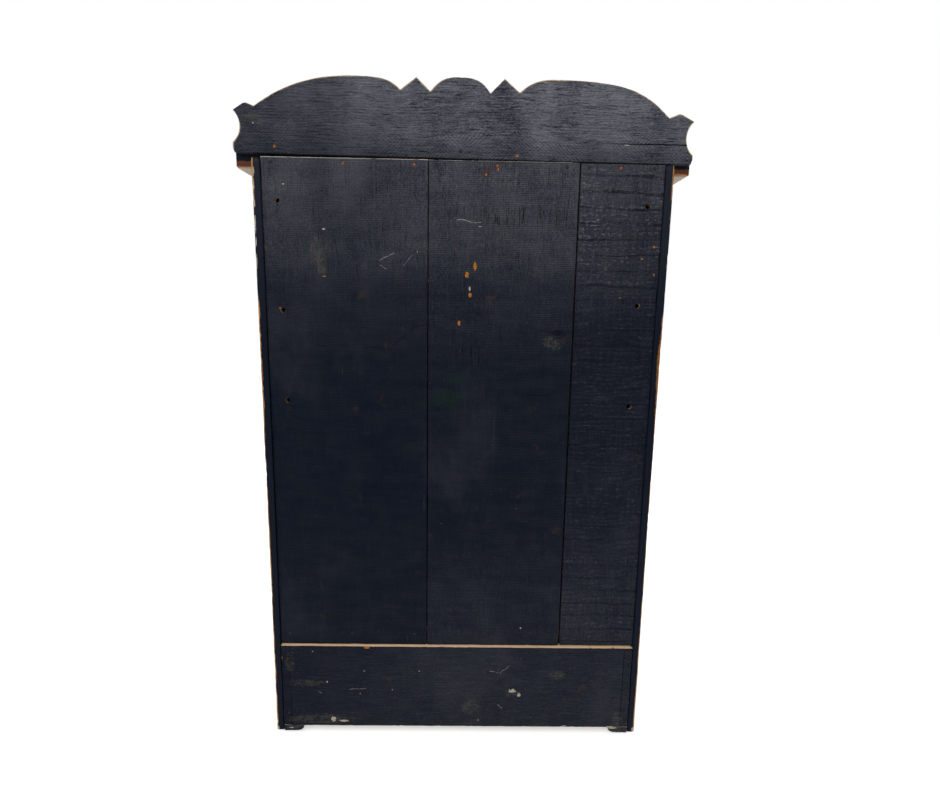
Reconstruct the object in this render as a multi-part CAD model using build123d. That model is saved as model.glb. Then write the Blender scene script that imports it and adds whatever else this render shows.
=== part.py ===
"""Miniature wardrobe: a nailed pine case with a shaped crest, two panelled doors and one drawer.

The frame is +Z up with the front facing -Y, and the origin on the floor at the middle of the whole object.
+X is the right-hand side as seen from the front. All sizes are in millimetres.
"""

from build123d import *
import math
import os

os.makedirs("parts", exist_ok=True)

# ---- Case
case_width = 300.0  # over the outer faces of the sides
case_depth = 160.0  # of a side board, front edge to back edge
case_height = 449.0  # floor to the underside of the cornice board
side_thickness = 5.6
side_foot_length = 24.0
side_foot_height = 6.0
side_end_rounding = 1.6  # worn lower corners of the sides
front_board_thickness = 5.6  # plinth and frieze

# ---- Cornice board and crest
cornice_thickness = 15.6
cornice_overhang = 13.0  # past the sides and past the front
cornice_rounding = 1.4
housing_depth = 5.5  # how far the sides rise into the cornice board
housing_clearance = 0.1
crest_width = 325.0
crest_tilt = 0.46  # degrees, as it was nailed on
crest_gap = 2.6  # middle of the crest's lower edge above the top of the sides

# ---- Back boards
back_thickness = 5.2
back_recess = 1.6  # the boards lie this far in from the back edges of the sides
wide_plank_width = 118.6
narrow_plank_width = 60.3
plank_side_gap = 0.3
plank_joint_gap = 0.6
narrow_joint_gap = 1.1
plank_rise = 6.8  # tops of the planks above the cornice underside
plank_top_steps = (0.2, 0.0, -0.5)  # wide, middle, narrow
plank_bottom_gaps = (0.1, 0.1, 0.9)  # between each plank and the top of the apron
hole_radius = 1.85
hole_insets = (11.0, 12.0, 13.0)  # hole centres in from the inner face of the +X side
hole_drops = (22.5, 100.2, 168.0)  # and below the cornice underside
far_hole_insets = (11.0, 14.2, 15.6)  # the same on the -X side
far_hole_drops = (22.5, 93.3, 169.5)

# ---- Base
base_board_top = 20.0
base_board_thickness = 5.6
floor_board_underside = 84.0  # also the top of the drawer opening
floor_board_thickness = 8.0
apron_top = 78.7
apron_bottom = 5.5
apron_thickness = 6.5
apron_proud = 1.0  # past the back edges of the sides
apron_gap = 0.8  # open joint between the apron and a side
apron_nail_shares = (0.97, 0.6, 0.2)  # of the way from the middle to an end
foot_block_width = 16.4
foot_block_round = 8.0
foot_block_lift = 0.8  # the back blocks don't quite reach the floor
frieze_height = 14.0
stop_drop = 5.0  # how far the stop strip hangs behind the doors
stop_thickness = 4.0
stop_end_gap = 3.2

# ---- Doors
door_clearance = 0.8
meeting_gap = 0.8
door_thickness = 7.0
stile_width = 21.0
top_rail_height = 31.0  # at its ends
arch_rise = 10.0
middle_rail_height = 18.0
bottom_rail_height = 26.0
lower_panel_height = 92.0
groove_width = 2.4
groove_depth = 4.0
panel_play = 0.3  # left free at the bottom of each groove
tenon_play = 0.2
field_margin = 5.0  # flat border round a panel's raised field
field_height = 1.3
field_bevel = 5.0

# ---- Hinges
hinge_length = 22.0
hinge_inset = 44.0  # hinge centre from the door's top or bottom edge
barrel_radius = 1.3
hinge_pin_radius = 0.65
hinge_play = 0.05
leaf_thickness = 0.7
leaf_depth = 5.2
knuckle_share = 0.34  # of the hinge length, for the middle knuckle
knuckle_gap = 0.15
hinge_screw_radius = 0.4
hinge_screw_head_radius = 0.85
hinge_screw_length = 4.2
hinge_screw_spacing = 13.0
hinge_screw_share = 0.55  # of the way back across a leaf
hinge_pin_proud = 0.6  # past each end of the knuckles

# ---- Knobs and turn button
knob_radius = 4.2
knob_reach = 11.0
knob_neck_radius = 1.9
knob_base_radius = 3.3
knob_stem_radius = 1.5
knob_stem_length = 5.0
knob_base_edge = 0.9  # depth of the straight edge of its base
knob_neck_start = 1.9  # where the base has narrowed to the neck
knob_ball_share = 1.55  # length of the ball in knob radii
knob_wide_share = 0.75  # from the neck to the widest place, in knob radii
knob_face_drop = 0.5  # how far the ball rounds back at the rim of its face
door_knob_inset = 10.5  # from the meeting edge
drawer_knob_spacing = 150.0
button_long_arm = 18.0  # from the screw to the end that turns down over both doors
button_short_arm = 6.0
button_width = 6.4
button_thickness = 2.2
button_chamfer = 0.5
button_gap = 0.3  # between the button and the face of the frieze
button_screw_radius = 0.9
button_screw_head_radius = 2.3
button_screw_head_height = 1.2
button_screw_rounding = 0.72
button_screw_grip = 5.4
screw_slot_width = 0.6
screw_slot_depth = 0.5

# ---- Drawer
drawer_clearance = 0.6
drawer_run_clearance = 0.3
drawer_front_thickness = 7.0
drawer_side_thickness = 4.0
drawer_side_play = 1.0  # each side of the box
drawer_side_height = 54.0
drawer_bottom_thickness = 2.4
drawer_bottom_rise = 4.0  # underside of the bottom above the lower edge of the sides
drawer_groove_depth = 2.0
drawer_panel_play = 0.2
drawer_front_rounding = 0.6

# ---- Hanging rail
rail_radius = 2.6
rail_drop = 30.0  # below the cornice underside
rail_y_share = 0.5  # of the way from the doors to the planks
socket_size = 16.0
socket_thickness = 5.0
rail_play = 0.05

# ---- Nails
nail_radius = 0.55
nail_head_radius = 1.15
nail_head_thickness = 0.4
nail_play = 0.05
plank_nail_length = 16.0
side_nail_length = 15.0
cornice_nail_length = 24.0
drawer_nail_length = 9.0
plank_nail_rise = 3.4  # above the cornice underside
plank_nail_insets = ((7.2, 9.8), (5.6, 9.1), (5.7, 8.0))  # wide, middle, narrow
plank_nail_shares = (0.49, 0.455, 0.47)
crest_nail_inset = 28.8
crest_middle_nail = 2.5  # off the middle
crest_nail_rise = 4.6  # above the crest's lower edge
side_nail_spread = 0.36  # of the case depth, from the middle nail of a row to an outer one
drawer_nail_shares = (0.3, 0.75)  # up a drawer side

# ---- Places worked out from the sizes above
half_width = case_width / 2
inner_half = half_width - side_thickness
whole_depth = cornice_overhang + case_depth + apron_proud
front_y = -whole_depth / 2 + cornice_overhang  # front edges of the sides
back_y = front_y + case_depth  # back edges of the sides
plank_back_y = back_y - back_recess
plank_front_y = plank_back_y - back_thickness
apron_back_y = back_y + apron_proud
apron_front_y = apron_back_y - apron_thickness
cornice_half = half_width + cornice_overhang
cornice_top = case_height + cornice_thickness
side_top = case_height + housing_depth
floor_top = floor_board_underside + floor_board_thickness
frieze_bottom = case_height - frieze_height
apron_half = inner_half - apron_gap
door_back_y = front_y + door_thickness
groove_y = front_y + (door_thickness - groove_width) / 2
knob_z = (floor_top + frieze_bottom) / 2


cut_over = 1.0  # how far a cutting shape runs past the face it cuts
from_base = (Align.CENTER, Align.CENTER, Align.MIN)


def block(x0, x1, y0, y1, z0, z1):
    """A plain board between two corners."""
    return Pos((x0 + x1) / 2, (y0 + y1) / 2, (z0 + z1) / 2) * Box(abs(x1 - x0), abs(y1 - y0), abs(z1 - z0))


def rod(start, direction, length, radius):
    """A cylinder from a point along a direction."""
    return Plane(origin=start, z_dir=direction) * Cylinder(radius, length, align=from_base)


def nail(head, direction, length, play=0.0):
    """A nail driven from its head's outer face, or with play the hole that it sits in."""
    top = rod(head, direction, nail_head_thickness + play, nail_head_radius + play)
    return top + rod(head, direction, length + play, nail_radius + play)


def drive(board, spots, direction, length):
    """The board with a hole for each nail."""
    for spot in spots:
        board = board - nail(spot, direction, length, nail_play)
    return board


def nails(spots, direction, length):
    """A group of separate nails."""
    return Compound(children=[nail(spot, direction, length) for spot in spots])


def bore(x, z, depth, radius):
    """A blind hole cut from the front faces of the doors, drawer or frieze."""
    return rod((x, front_y - cut_over, z), (0, 1, 0), cut_over + depth, radius)


def in_front_view(sketch, y0, depth):
    """A sketch drawn in X and Z, with its front at y0, carried back by depth."""
    face = Plane(origin=(0, y0, 0), x_dir=(1, 0, 0), z_dir=(0, -1, 0)) * sketch
    return extrude(face, amount=-depth)


# ---- Nail places
plank_end = inner_half - plank_side_gap
wide_plank_low = plank_end - wide_plank_width
narrow_plank_high = -plank_end + narrow_plank_width
plank_edges = (
    (wide_plank_low, plank_end),
    (narrow_plank_high + narrow_joint_gap, wide_plank_low - plank_joint_gap),
    (-plank_end, narrow_plank_high),
)
floor_middle_z = floor_board_underside + floor_board_thickness / 2
plank_nail_heights = (case_height + plank_nail_rise, floor_middle_z)


def plank_nail_spots(index):
    """Head places of one plank's nails, three at the top and three at the bottom."""
    low, high = plank_edges[index]
    near, far = plank_nail_insets[index]
    places = (high - near, high - plank_nail_shares[index] * (high - low), low + far)
    return [(x, plank_back_y, z) for z in plank_nail_heights for x in places]


all_plank_nails = [spot for index in range(3) for spot in plank_nail_spots(index)]
crest_z = side_top + crest_gap
crest_slope = math.tan(math.radians(crest_tilt))
crest_nail_line = (crest_width / 2 - crest_nail_inset, crest_middle_nail, -crest_width / 2 + crest_nail_inset)
crest_nail_spots = [(x, plank_back_y, crest_z + crest_nail_rise + x * crest_slope) for x in crest_nail_line]
base_nail_z = base_board_top - base_board_thickness / 2
apron_nail_spots = [
    (side * share * apron_half, apron_back_y, base_nail_z) for side in (1, -1) for share in apron_nail_shares
]
nail_line = [front_y + case_depth * (0.5 + share) for share in (-side_nail_spread, 0, side_nail_spread)]
frieze_nail = (front_y + front_board_thickness / 2, frieze_bottom + frieze_height / 2)
side_nail_rows = [(y, z) for z in (base_nail_z, floor_middle_z) for y in nail_line] + [frieze_nail]


def side_nail_spots(side):
    return [(half_width * side, y, z) for y, z in side_nail_rows]


def cornice_nail_spots(side):
    return [((half_width - side_thickness / 2) * side, y, cornice_top) for y in nail_line]


# ---- Hinge places
door_bottom = floor_top + door_clearance
door_top = frieze_bottom - door_clearance
hinge_x = inner_half - door_clearance / 2  # axis, in the middle of the gap at the side
hinge_y = front_y - barrel_radius
hinge_heights = (door_bottom + hinge_inset, door_top - hinge_inset)
leaf_gap = hinge_play  # half the space between two closed leaves
door_outer = inner_half - door_clearance
door_inner = meeting_gap / 2


def knuckle_spans(z):
    """Height ranges of the outer, middle and outer knuckles of a hinge centred at z."""
    half = hinge_length / 2
    middle = hinge_length * knuckle_share / 2
    return (z - half, z - middle - knuckle_gap), (z - middle, z + middle), (z + middle + knuckle_gap, z + half)


def hinge_leaf(side, z, on_door):
    """One leaf with its own knuckles. side is +1 at the right-hand door."""
    outer_low, middle, outer_high = knuckle_spans(z)
    own = (middle,) if on_door else (outer_low, outer_high)
    sign = -side if on_door else side
    half = hinge_length / 2
    x0 = hinge_x * side + sign * leaf_gap
    x1 = x0 + sign * leaf_thickness
    leaf = block(x0, x1, front_y + hinge_play, front_y + leaf_depth, z - half, z + half)
    for low, high in own:
        leaf = leaf + block(x0, x1, hinge_y, front_y + 2 * hinge_play, low, high)
        leaf = leaf + rod((hinge_x * side, hinge_y, low), (0, 0, 1), high - low, barrel_radius)
    foot = (hinge_x * side, hinge_y, z - half - cut_over)
    leaf = leaf - rod(foot, (0, 0, 1), 2 * (half + cut_over), hinge_pin_radius + hinge_play)
    for screw_z in hinge_screw_heights(z):
        leaf = leaf - hinge_screw(side, screw_z, on_door, hinge_play)
    return leaf


def hinge_screw_heights(z):
    return (z - hinge_screw_spacing / 2, z + hinge_screw_spacing / 2)


def hinge_screw(side, z, on_door, play=0.0):
    """A countersunk screw with its head flush in a leaf, or with play its hole."""
    sign = -side if on_door else side
    face = (hinge_x * side + sign * leaf_gap, front_y + leaf_depth * hinge_screw_share, z)
    wide = hinge_screw_head_radius + play
    narrow = hinge_screw_radius + play
    head = Plane(origin=face, z_dir=(sign, 0, 0)) * Cone(wide, narrow, leaf_thickness - hinge_play, align=from_base)
    return head + rod(face, (sign, 0, 0), hinge_screw_length + play, hinge_screw_radius + play)


def hinge_mortise(side, z, on_door):
    """The shallow bed cut for a leaf in the side board or in the door's edge."""
    sign = -side if on_door else side
    x0 = hinge_x * side + sign * leaf_gap
    x1 = x0 + sign * (leaf_thickness + hinge_play)
    half = hinge_length / 2 + hinge_play
    return block(x0, x1, front_y - cut_over, front_y + leaf_depth + hinge_play, z - half, z + half)


# ---- Case boards
rail_y = door_back_y + rail_y_share * (plank_front_y - door_back_y)
rail_z = case_height - rail_drop


def side_outline():
    """Side board seen from the side, in Y and Z, with a foot at each end."""
    foot = side_foot_length
    rise = side_foot_height
    with BuildSketch() as drawn:
        with BuildLine():
            Polyline((front_y + foot, 0), (front_y, 0), (front_y, side_top))
            Polyline((front_y, side_top), (back_y, side_top), (back_y, 0), (back_y - foot, 0))
            RadiusArc((back_y - foot, 0), (back_y - foot - rise, rise), rise)
            Line((back_y - foot - rise, rise), (front_y + foot + rise, rise))
            RadiusArc((front_y + foot + rise, rise), (front_y + foot, 0), rise)
        make_face()
    return drawn.sketch


def side_board(side):
    sketch = Plane(origin=(inner_half * side, 0, 0), x_dir=(0, 1, 0), z_dir=(1, 0, 0)) * side_outline()
    board = extrude(sketch, amount=side_thickness * side)
    lowest = board.edges().filter_by(Axis.X).group_by(Axis.Z)[0]
    board = fillet(lowest.sort_by(Axis.Y)[-1], side_end_rounding)
    for z in hinge_heights:
        board = board - hinge_mortise(side, z, False)
        for screw_z in hinge_screw_heights(z):
            board = board - hinge_screw(side, screw_z, False, hinge_play)
    board = drive(board, side_nail_spots(side), (-side, 0, 0), side_nail_length)
    return drive(board, cornice_nail_spots(side), (0, 0, -1), cornice_nail_length)


def cornice_board():
    board = block(-cornice_half, cornice_half, front_y - cornice_overhang, plank_front_y, case_height, cornice_top)
    level = board.edges().group_by(Axis.Z)[0] + board.edges().group_by(Axis.Z)[-1]
    outer = level - board.edges().group_by(Axis.Y)[-1]
    board = fillet(outer, cornice_rounding)
    housing_front = front_y - housing_clearance
    housing_top = side_top + housing_clearance
    for side in (1, -1):
        x0 = (inner_half - housing_clearance) * side
        x1 = (half_width + housing_clearance) * side
        housing = block(x0, x1, housing_front, plank_front_y + cut_over, case_height - cut_over, housing_top)
        board = board - housing
        board = drive(board, cornice_nail_spots(side), (0, 0, -1), cornice_nail_length)
    board = drive(board, all_plank_nails, (0, -1, 0), plank_nail_length)
    return drive(board, crest_nail_spots, (0, -1, 0), plank_nail_length)


def crest_outline():
    """Crest seen from the front, in X and height above its lower edge, sawn by eye."""
    end = crest_width / 2
    with BuildSketch() as drawn:
        with BuildLine():
            # right-hand ear
            Line((end - 0.6, 0), (end + 0.6, 3.0))
            Line((end + 0.6, 3.0), (end + 0.4, 6.6))
            ThreePointArc((end + 0.4, 6.6), (end - 4.7, 17.2), (end - 0.4, 28.0))
            Line((end - 0.4, 28.0), (end - 7.2, 32.4))
            ThreePointArc((end - 7.2, 32.4), (end - 9.2, 32.9), (end - 11.2, 32.4))
            Line((end - 11.2, 32.4), (end - 15.2, 30.9))
            # long arch down to the first point
            Bezier((end - 15.2, 30.9), (end - 36.0, 46.0), (end - 58.0, 52.4), (76.0, 52.4))
            Bezier((76.0, 52.4), (59.0, 52.4), (52.5, 51.2), (45.3, 44.2))
            Polyline((45.3, 44.2), (34.2, 52.6), (24.4, 43.6))
            # middle arch
            Bezier((24.4, 43.6), (18.6, 50.8), (13.8, 53.2), (5.6, 53.2))
            Bezier((5.6, 53.2), (-5.6, 53.2), (-11.0, 52.8), (-17.6, 43.4))
            Polyline((-17.6, 43.4), (-27.3, 53.1), (-38.0, 44.4))
            # long arch down to the left-hand ear
            Bezier((-38.0, 44.4), (-46.0, 51.0), (-51.0, 53.4), (-64.0, 53.4))
            Bezier((-64.0, 53.4), (-end + 48.0, 53.4), (-end + 36.0, 47.0), (-end + 18.4, 30.7))
            Line((-end + 18.4, 30.7), (-end + 13.6, 32.6))
            ThreePointArc((-end + 13.6, 32.6), (-end + 11.0, 33.4), (-end + 8.6, 32.8))
            Line((-end + 8.6, 32.8), (-end + 0.6, 28.6))
            ThreePointArc((-end + 0.6, 28.6), (-end + 5.1, 16.0), (-end - 0.2, 6.2))
            Line((-end - 0.2, 6.2), (-end - 0.2, 3.0))
            Line((-end - 0.2, 3.0), (-end + 0.8, 0))
            Line((-end + 0.8, 0), (end - 0.6, 0))
        make_face()
    return drawn.sketch


def crest_board():
    board = in_front_view(crest_outline(), plank_front_y, back_thickness)
    board = Pos(0, 0, crest_z) * (Rot(0, -crest_tilt, 0) * board)
    return drive(board, crest_nail_spots, (0, -1, 0), plank_nail_length)


def back_plank(index):
    low, high = plank_edges[index]
    top = case_height + plank_rise + plank_top_steps[index]
    bottom = apron_top + plank_bottom_gaps[index]
    plank = block(low, high, plank_front_y, plank_back_y, bottom, top)
    holes = []
    if index == 0:
        holes = [(inner_half - inset, case_height - drop) for inset, drop in zip(hole_insets, hole_drops)]
    if index == 2:
        holes = [(-inner_half + inset, case_height - drop) for inset, drop in zip(far_hole_insets, far_hole_drops)]
    for x, z in holes:
        start = (x, plank_front_y - cut_over, z)
        plank = plank - rod(start, (0, 1, 0), back_thickness + 2 * cut_over, hole_radius)
    return drive(plank, plank_nail_spots(index), (0, -1, 0), plank_nail_length)


def floor_board():
    board = block(-inner_half, inner_half, front_y, plank_front_y, floor_board_underside, floor_top)
    board = drive(board, all_plank_nails, (0, -1, 0), plank_nail_length)
    for side in (1, -1):
        board = drive(board, side_nail_spots(side), (-side, 0, 0), side_nail_length)
    return board


def base_board():
    low = base_board_top - base_board_thickness
    front = front_y + front_board_thickness
    board = block(-inner_half, inner_half, front, apron_front_y, low, base_board_top)
    for side in (1, -1):
        board = drive(board, side_nail_spots(side), (-side, 0, 0), side_nail_length)
    return drive(board, apron_nail_spots, (0, -1, 0), plank_nail_length)


def back_apron():
    board = block(-apron_half, apron_half, apron_front_y, apron_back_y, apron_bottom, apron_top)
    return drive(board, apron_nail_spots, (0, -1, 0), plank_nail_length)


def foot_block(side, outer, y0, y1, low, high):
    """A small block under the end of a board, rounded at its inner lower corner."""
    inner = outer - foot_block_width
    round_start = inner + foot_block_round
    with BuildSketch() as drawn:
        with BuildLine():
            Polyline((inner * side, high), (outer * side, high), (outer * side, low))
            Line((outer * side, low), (round_start * side, low))
            Bezier((round_start * side, low), (inner * side, low), (inner * side, high))
        make_face()
    return in_front_view(drawn.sketch, y0, y1 - y0)


def back_foot(side):
    return foot_block(side, apron_half, apron_front_y, apron_back_y, foot_block_lift, apron_bottom)


def front_foot(side):
    return foot_block(side, inner_half, front_y, front_y + front_board_thickness, 0, side_foot_height)


def front_plinth():
    back = front_y + front_board_thickness
    return block(-inner_half, inner_half, front_y, back, side_foot_height, base_board_top)


def frieze_rail():
    back = front_y + front_board_thickness
    rail = block(-inner_half, inner_half, front_y, back, frieze_bottom, case_height)
    for side in (1, -1):
        rail = drive(rail, side_nail_spots(side), (-side, 0, 0), side_nail_length)
    return rail - bore(0, frieze_bottom + frieze_height / 2, button_screw_grip, button_screw_radius + nail_play)


def stop_strip():
    y0 = door_back_y + drawer_run_clearance
    end = inner_half - stop_end_gap
    return block(-end, end, y0, y0 + stop_thickness, frieze_bottom - stop_drop, case_height)


def hanging_rail():
    reach = inner_half - rail_play
    return rod((-reach, rail_y, rail_z), (1, 0, 0), 2 * reach, rail_radius)


def rail_socket(side):
    half = socket_size / 2
    inner = (inner_half - socket_thickness) * side
    socket = block(inner_half * side, inner, rail_y - half, rail_y + half, rail_z - half, rail_z + half)
    return socket - rod((-inner_half, rail_y, rail_z), (1, 0, 0), 2 * inner_half, rail_radius + rail_play)


# ---- Doors, drawn for the right-hand side and mirrored for the left
rail_low_x = door_inner + stile_width
rail_high_x = door_outer - stile_width
panel_middle_x = (rail_low_x + rail_high_x) / 2
opening_half = (rail_high_x - rail_low_x) / 2
bottom_rail_top = door_bottom + bottom_rail_height
middle_rail_bottom = bottom_rail_top + lower_panel_height
middle_rail_top = middle_rail_bottom + middle_rail_height
arch_foot = door_top - top_rail_height  # where the arch springs from the stiles
arch_radius = (opening_half**2 + arch_rise**2) / (2 * arch_rise)
arch_centre_z = arch_foot + arch_rise - arch_radius
knob_x = door_inner + door_knob_inset
button_z = frieze_bottom + frieze_height / 2


def groove_cut(x0, x1, z0, z1):
    return block(x0, x1, groove_y, groove_y + groove_width, z0, z1)


def under_arch(half, bottom, radius):
    """The X and Z area between a straight bottom, two sides and the door's arch at a given radius."""
    height = arch_centre_z + radius - bottom + cut_over
    area = Pos(panel_middle_x, bottom) * Rectangle(2 * half, height, align=(Align.CENTER, Align.MIN))
    return area & (Pos(panel_middle_x, arch_centre_z) * Circle(radius))


def meeting_stile():
    stile = block(door_inner, rail_low_x, front_y, door_back_y, door_bottom, door_top)
    groove_end = rail_low_x + cut_over
    stile = stile - groove_cut(rail_low_x - groove_depth, groove_end, door_bottom - cut_over, door_top + cut_over)
    return stile - bore(knob_x, knob_z, knob_stem_length + nail_play, knob_stem_radius + nail_play)


def hinge_stile():
    stile = block(rail_high_x, door_outer, front_y, door_back_y, door_bottom, door_top)
    groove_end = rail_high_x - cut_over
    stile = stile - groove_cut(groove_end, rail_high_x + groove_depth, door_bottom - cut_over, door_top + cut_over)
    for z in hinge_heights:
        stile = stile - hinge_mortise(1, z, True)
        for screw_z in hinge_screw_heights(z):
            stile = stile - hinge_screw(1, screw_z, True, hinge_play)
    return stile


def rail_blank(z0, z1):
    """A rail with a stub tenon at each end, before it is grooved for the panels."""
    reach = groove_depth - tenon_play
    body = block(rail_low_x, rail_high_x, front_y, door_back_y, z0, z1)
    return body + groove_cut(rail_low_x - reach, rail_high_x + reach, z0, z1)


def long_groove(z0, z1):
    """A groove along a rail, run out through both of its tenons."""
    return groove_cut(rail_low_x - groove_depth, rail_high_x + groove_depth, z0, z1)


def bottom_rail():
    groove = long_groove(bottom_rail_top - groove_depth, bottom_rail_top + cut_over)
    return rail_blank(door_bottom, bottom_rail_top) - groove


def middle_rail():
    rail = rail_blank(middle_rail_bottom, middle_rail_top)
    rail = rail - long_groove(middle_rail_bottom - cut_over, middle_rail_bottom + groove_depth)
    return rail - long_groove(middle_rail_top - groove_depth, middle_rail_top + cut_over)


def top_rail():
    rail = rail_blank(arch_foot, door_top)
    opening = under_arch(opening_half, arch_foot - cut_over, arch_radius)
    rail = rail - in_front_view(opening, front_y - cut_over, door_thickness + 2 * cut_over)
    groove = under_arch(opening_half + groove_depth + cut_over, arch_foot - 2 * cut_over, arch_radius + groove_depth)
    return rail - in_front_view(groove, groove_y, groove_width)


def raised_field(area, bottom_y):
    """The bevelled field that stands in front of a panel."""
    face = Plane(origin=(0, bottom_y, 0), x_dir=(1, 0, 0), z_dir=(0, -1, 0)) * area
    return extrude(face, amount=field_height, taper=math.degrees(math.atan2(field_bevel, field_height)))


def lower_panel():
    reach = groove_depth - panel_play
    low, high = bottom_rail_top, middle_rail_bottom
    panel = groove_cut(rail_low_x - reach, rail_high_x + reach, low - reach, high + reach)
    flat = Rectangle(2 * (opening_half - field_margin), high - low - 2 * field_margin)
    return panel + raised_field(Pos(panel_middle_x, (low + high) / 2) * flat, groove_y)


def upper_panel():
    reach = groove_depth - panel_play
    outline = under_arch(opening_half + reach, middle_rail_top - reach, arch_radius + reach)
    panel = in_front_view(outline, groove_y, groove_width)
    field = under_arch(opening_half - field_margin, middle_rail_top + field_margin, arch_radius - field_margin)
    return panel + raised_field(field, groove_y)


def knob(x, z):
    """A turned knob with its stem, facing the front."""
    neck = -(knob_reach - knob_radius * knob_ball_share)
    rim = (knob_radius * 0.6, -knob_reach + knob_face_drop)
    with BuildSketch(Plane.XY) as drawn:
        with BuildLine():
            Polyline(
                (0, knob_stem_length),
                (knob_stem_radius, knob_stem_length),
                (knob_stem_radius, 0),
                (knob_base_radius, 0),
                (knob_base_radius, -knob_base_edge),
                (knob_neck_radius, -knob_neck_start),
                (knob_neck_radius, neck),
            )
            ThreePointArc((knob_neck_radius, neck), (knob_radius, neck - knob_radius * knob_wide_share), rim)
            Polyline(rim, (knob_radius * 0.3, -knob_reach), (0, -knob_reach), (0, knob_stem_length))
        make_face()
    turned = revolve(drawn.sketch, Axis.Y)
    return Pos(x, front_y, z) * turned


def turn_button():
    y1 = front_y - button_gap
    middle = (button_long_arm - button_short_arm) / 2
    sketch = Pos(middle, button_z) * SlotOverall(button_long_arm + button_short_arm, button_width)
    button = in_front_view(sketch, y1 - button_thickness, button_thickness)
    button = chamfer(button.faces().sort_by(Axis.Y)[0].edges(), button_chamfer)
    through = button_thickness + button_gap + 2 * cut_over
    return button - rod((0, front_y + cut_over, button_z), (0, -1, 0), through, button_screw_radius + nail_play)


def button_screw():
    under_head = front_y - button_gap - button_thickness - nail_play
    head = rod((0, under_head, button_z), (0, -1, 0), button_screw_head_height, button_screw_head_radius)
    head = fillet(head.faces().sort_by(Axis.Y)[0].edges(), button_screw_rounding)
    top = under_head - button_screw_head_height
    half = button_screw_head_radius
    slot_low = button_z - screw_slot_width / 2
    slot = block(-half, half, top - cut_over, top + screw_slot_depth, slot_low, slot_low + screw_slot_width)
    length = button_screw_grip + front_y - under_head - nail_play
    return head - slot + rod((0, under_head, button_z), (0, 1, 0), length, button_screw_radius)


# ---- Drawer
drawer_half = inner_half - drawer_side_play
drawer_low = base_board_top + drawer_run_clearance
drawer_side_front = front_y + drawer_front_thickness
drawer_back_y = apron_front_y - drawer_run_clearance
drawer_inner = drawer_half - drawer_side_thickness
drawer_bottom_z = drawer_low + drawer_bottom_rise
drawer_side_top = drawer_low + drawer_side_height
drawer_knob_z = (base_board_top + floor_board_underside) / 2
drawer_groove_top = drawer_bottom_z + drawer_bottom_thickness + drawer_panel_play / 2
drawer_nail_heights = [drawer_low + drawer_side_height * share for share in drawer_nail_shares]
drawer_nail_y = drawer_back_y - drawer_side_thickness / 2
drawer_nail_spots = {side: [(drawer_half * side, drawer_nail_y, z) for z in drawer_nail_heights] for side in (1, -1)}
drawer_nail_x = drawer_half - drawer_side_thickness / 2
drawer_front_nail_spots = [(drawer_nail_x * side, front_y, z) for side in (1, -1) for z in drawer_nail_heights]


def drawer_front():
    half = inner_half - drawer_clearance
    low = base_board_top + drawer_clearance
    high = floor_board_underside - drawer_clearance
    board = block(-half, half, front_y, drawer_side_front, low, high)
    board = fillet(board.faces().sort_by(Axis.Y)[0].edges(), drawer_front_rounding)
    y0 = drawer_side_front - drawer_groove_depth
    y1 = drawer_side_front + cut_over
    board = board - block(-drawer_inner, drawer_inner, y0, y1, drawer_bottom_z, drawer_groove_top)
    for side in (1, -1):
        x = side * drawer_knob_spacing / 2
        board = board - bore(x, drawer_knob_z, knob_stem_length + nail_play, knob_stem_radius + nail_play)
    return drive(board, drawer_front_nail_spots, (0, 1, 0), plank_nail_length)


def drawer_side(side):
    inner = drawer_inner * side
    board = block(inner, drawer_half * side, drawer_side_front, drawer_back_y, drawer_low, drawer_side_top)
    x0 = (drawer_inner - cut_over) * side
    x1 = (drawer_inner + drawer_groove_depth) * side
    y0 = drawer_side_front - cut_over
    board = board - block(x0, x1, y0, drawer_back_y + cut_over, drawer_bottom_z, drawer_groove_top)
    board = drive(board, drawer_nail_spots[side], (-side, 0, 0), drawer_nail_length)
    return drive(board, drawer_front_nail_spots, (0, 1, 0), plank_nail_length)


def drawer_back():
    y0 = drawer_back_y - drawer_side_thickness
    board = block(-drawer_inner, drawer_inner, y0, drawer_back_y, drawer_groove_top, drawer_side_top)
    for side in (1, -1):
        board = drive(board, drawer_nail_spots[side], (-side, 0, 0), drawer_nail_length)
    return board


def drawer_bottom():
    half = drawer_inner + drawer_groove_depth - drawer_panel_play
    front = drawer_side_front - drawer_groove_depth + drawer_panel_play
    corner = drawer_inner - drawer_panel_play
    shoulder = drawer_side_front + drawer_panel_play
    top = drawer_bottom_z + drawer_bottom_thickness
    panel = block(-half, half, shoulder, drawer_back_y, drawer_bottom_z, top)
    return panel + block(-corner, corner, front, shoulder + cut_over, drawer_bottom_z, top)


def mirrored(solid):
    return mirror(solid, about=Plane.YZ)


def pair(make):
    """A left and a right piece as one group of two separate solids."""
    return Compound(children=[make(side) for side in (-1, 1)])


def hinge_group(make):
    """The same piece of both hinges of a door as one group."""
    return Compound(children=[make(z) for z in hinge_heights])


def hinge_screws(sides, on_door):
    heights = [screw_z for z in hinge_heights for screw_z in hinge_screw_heights(z)]
    return Compound(children=[hinge_screw(side, z, on_door) for side in sides for z in heights])


def hinge_pin(side, z):
    reach = hinge_length / 2 + hinge_pin_proud
    return rod((hinge_x * side, hinge_y, z - reach), (0, 0, 1), 2 * reach, hinge_pin_radius)


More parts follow.
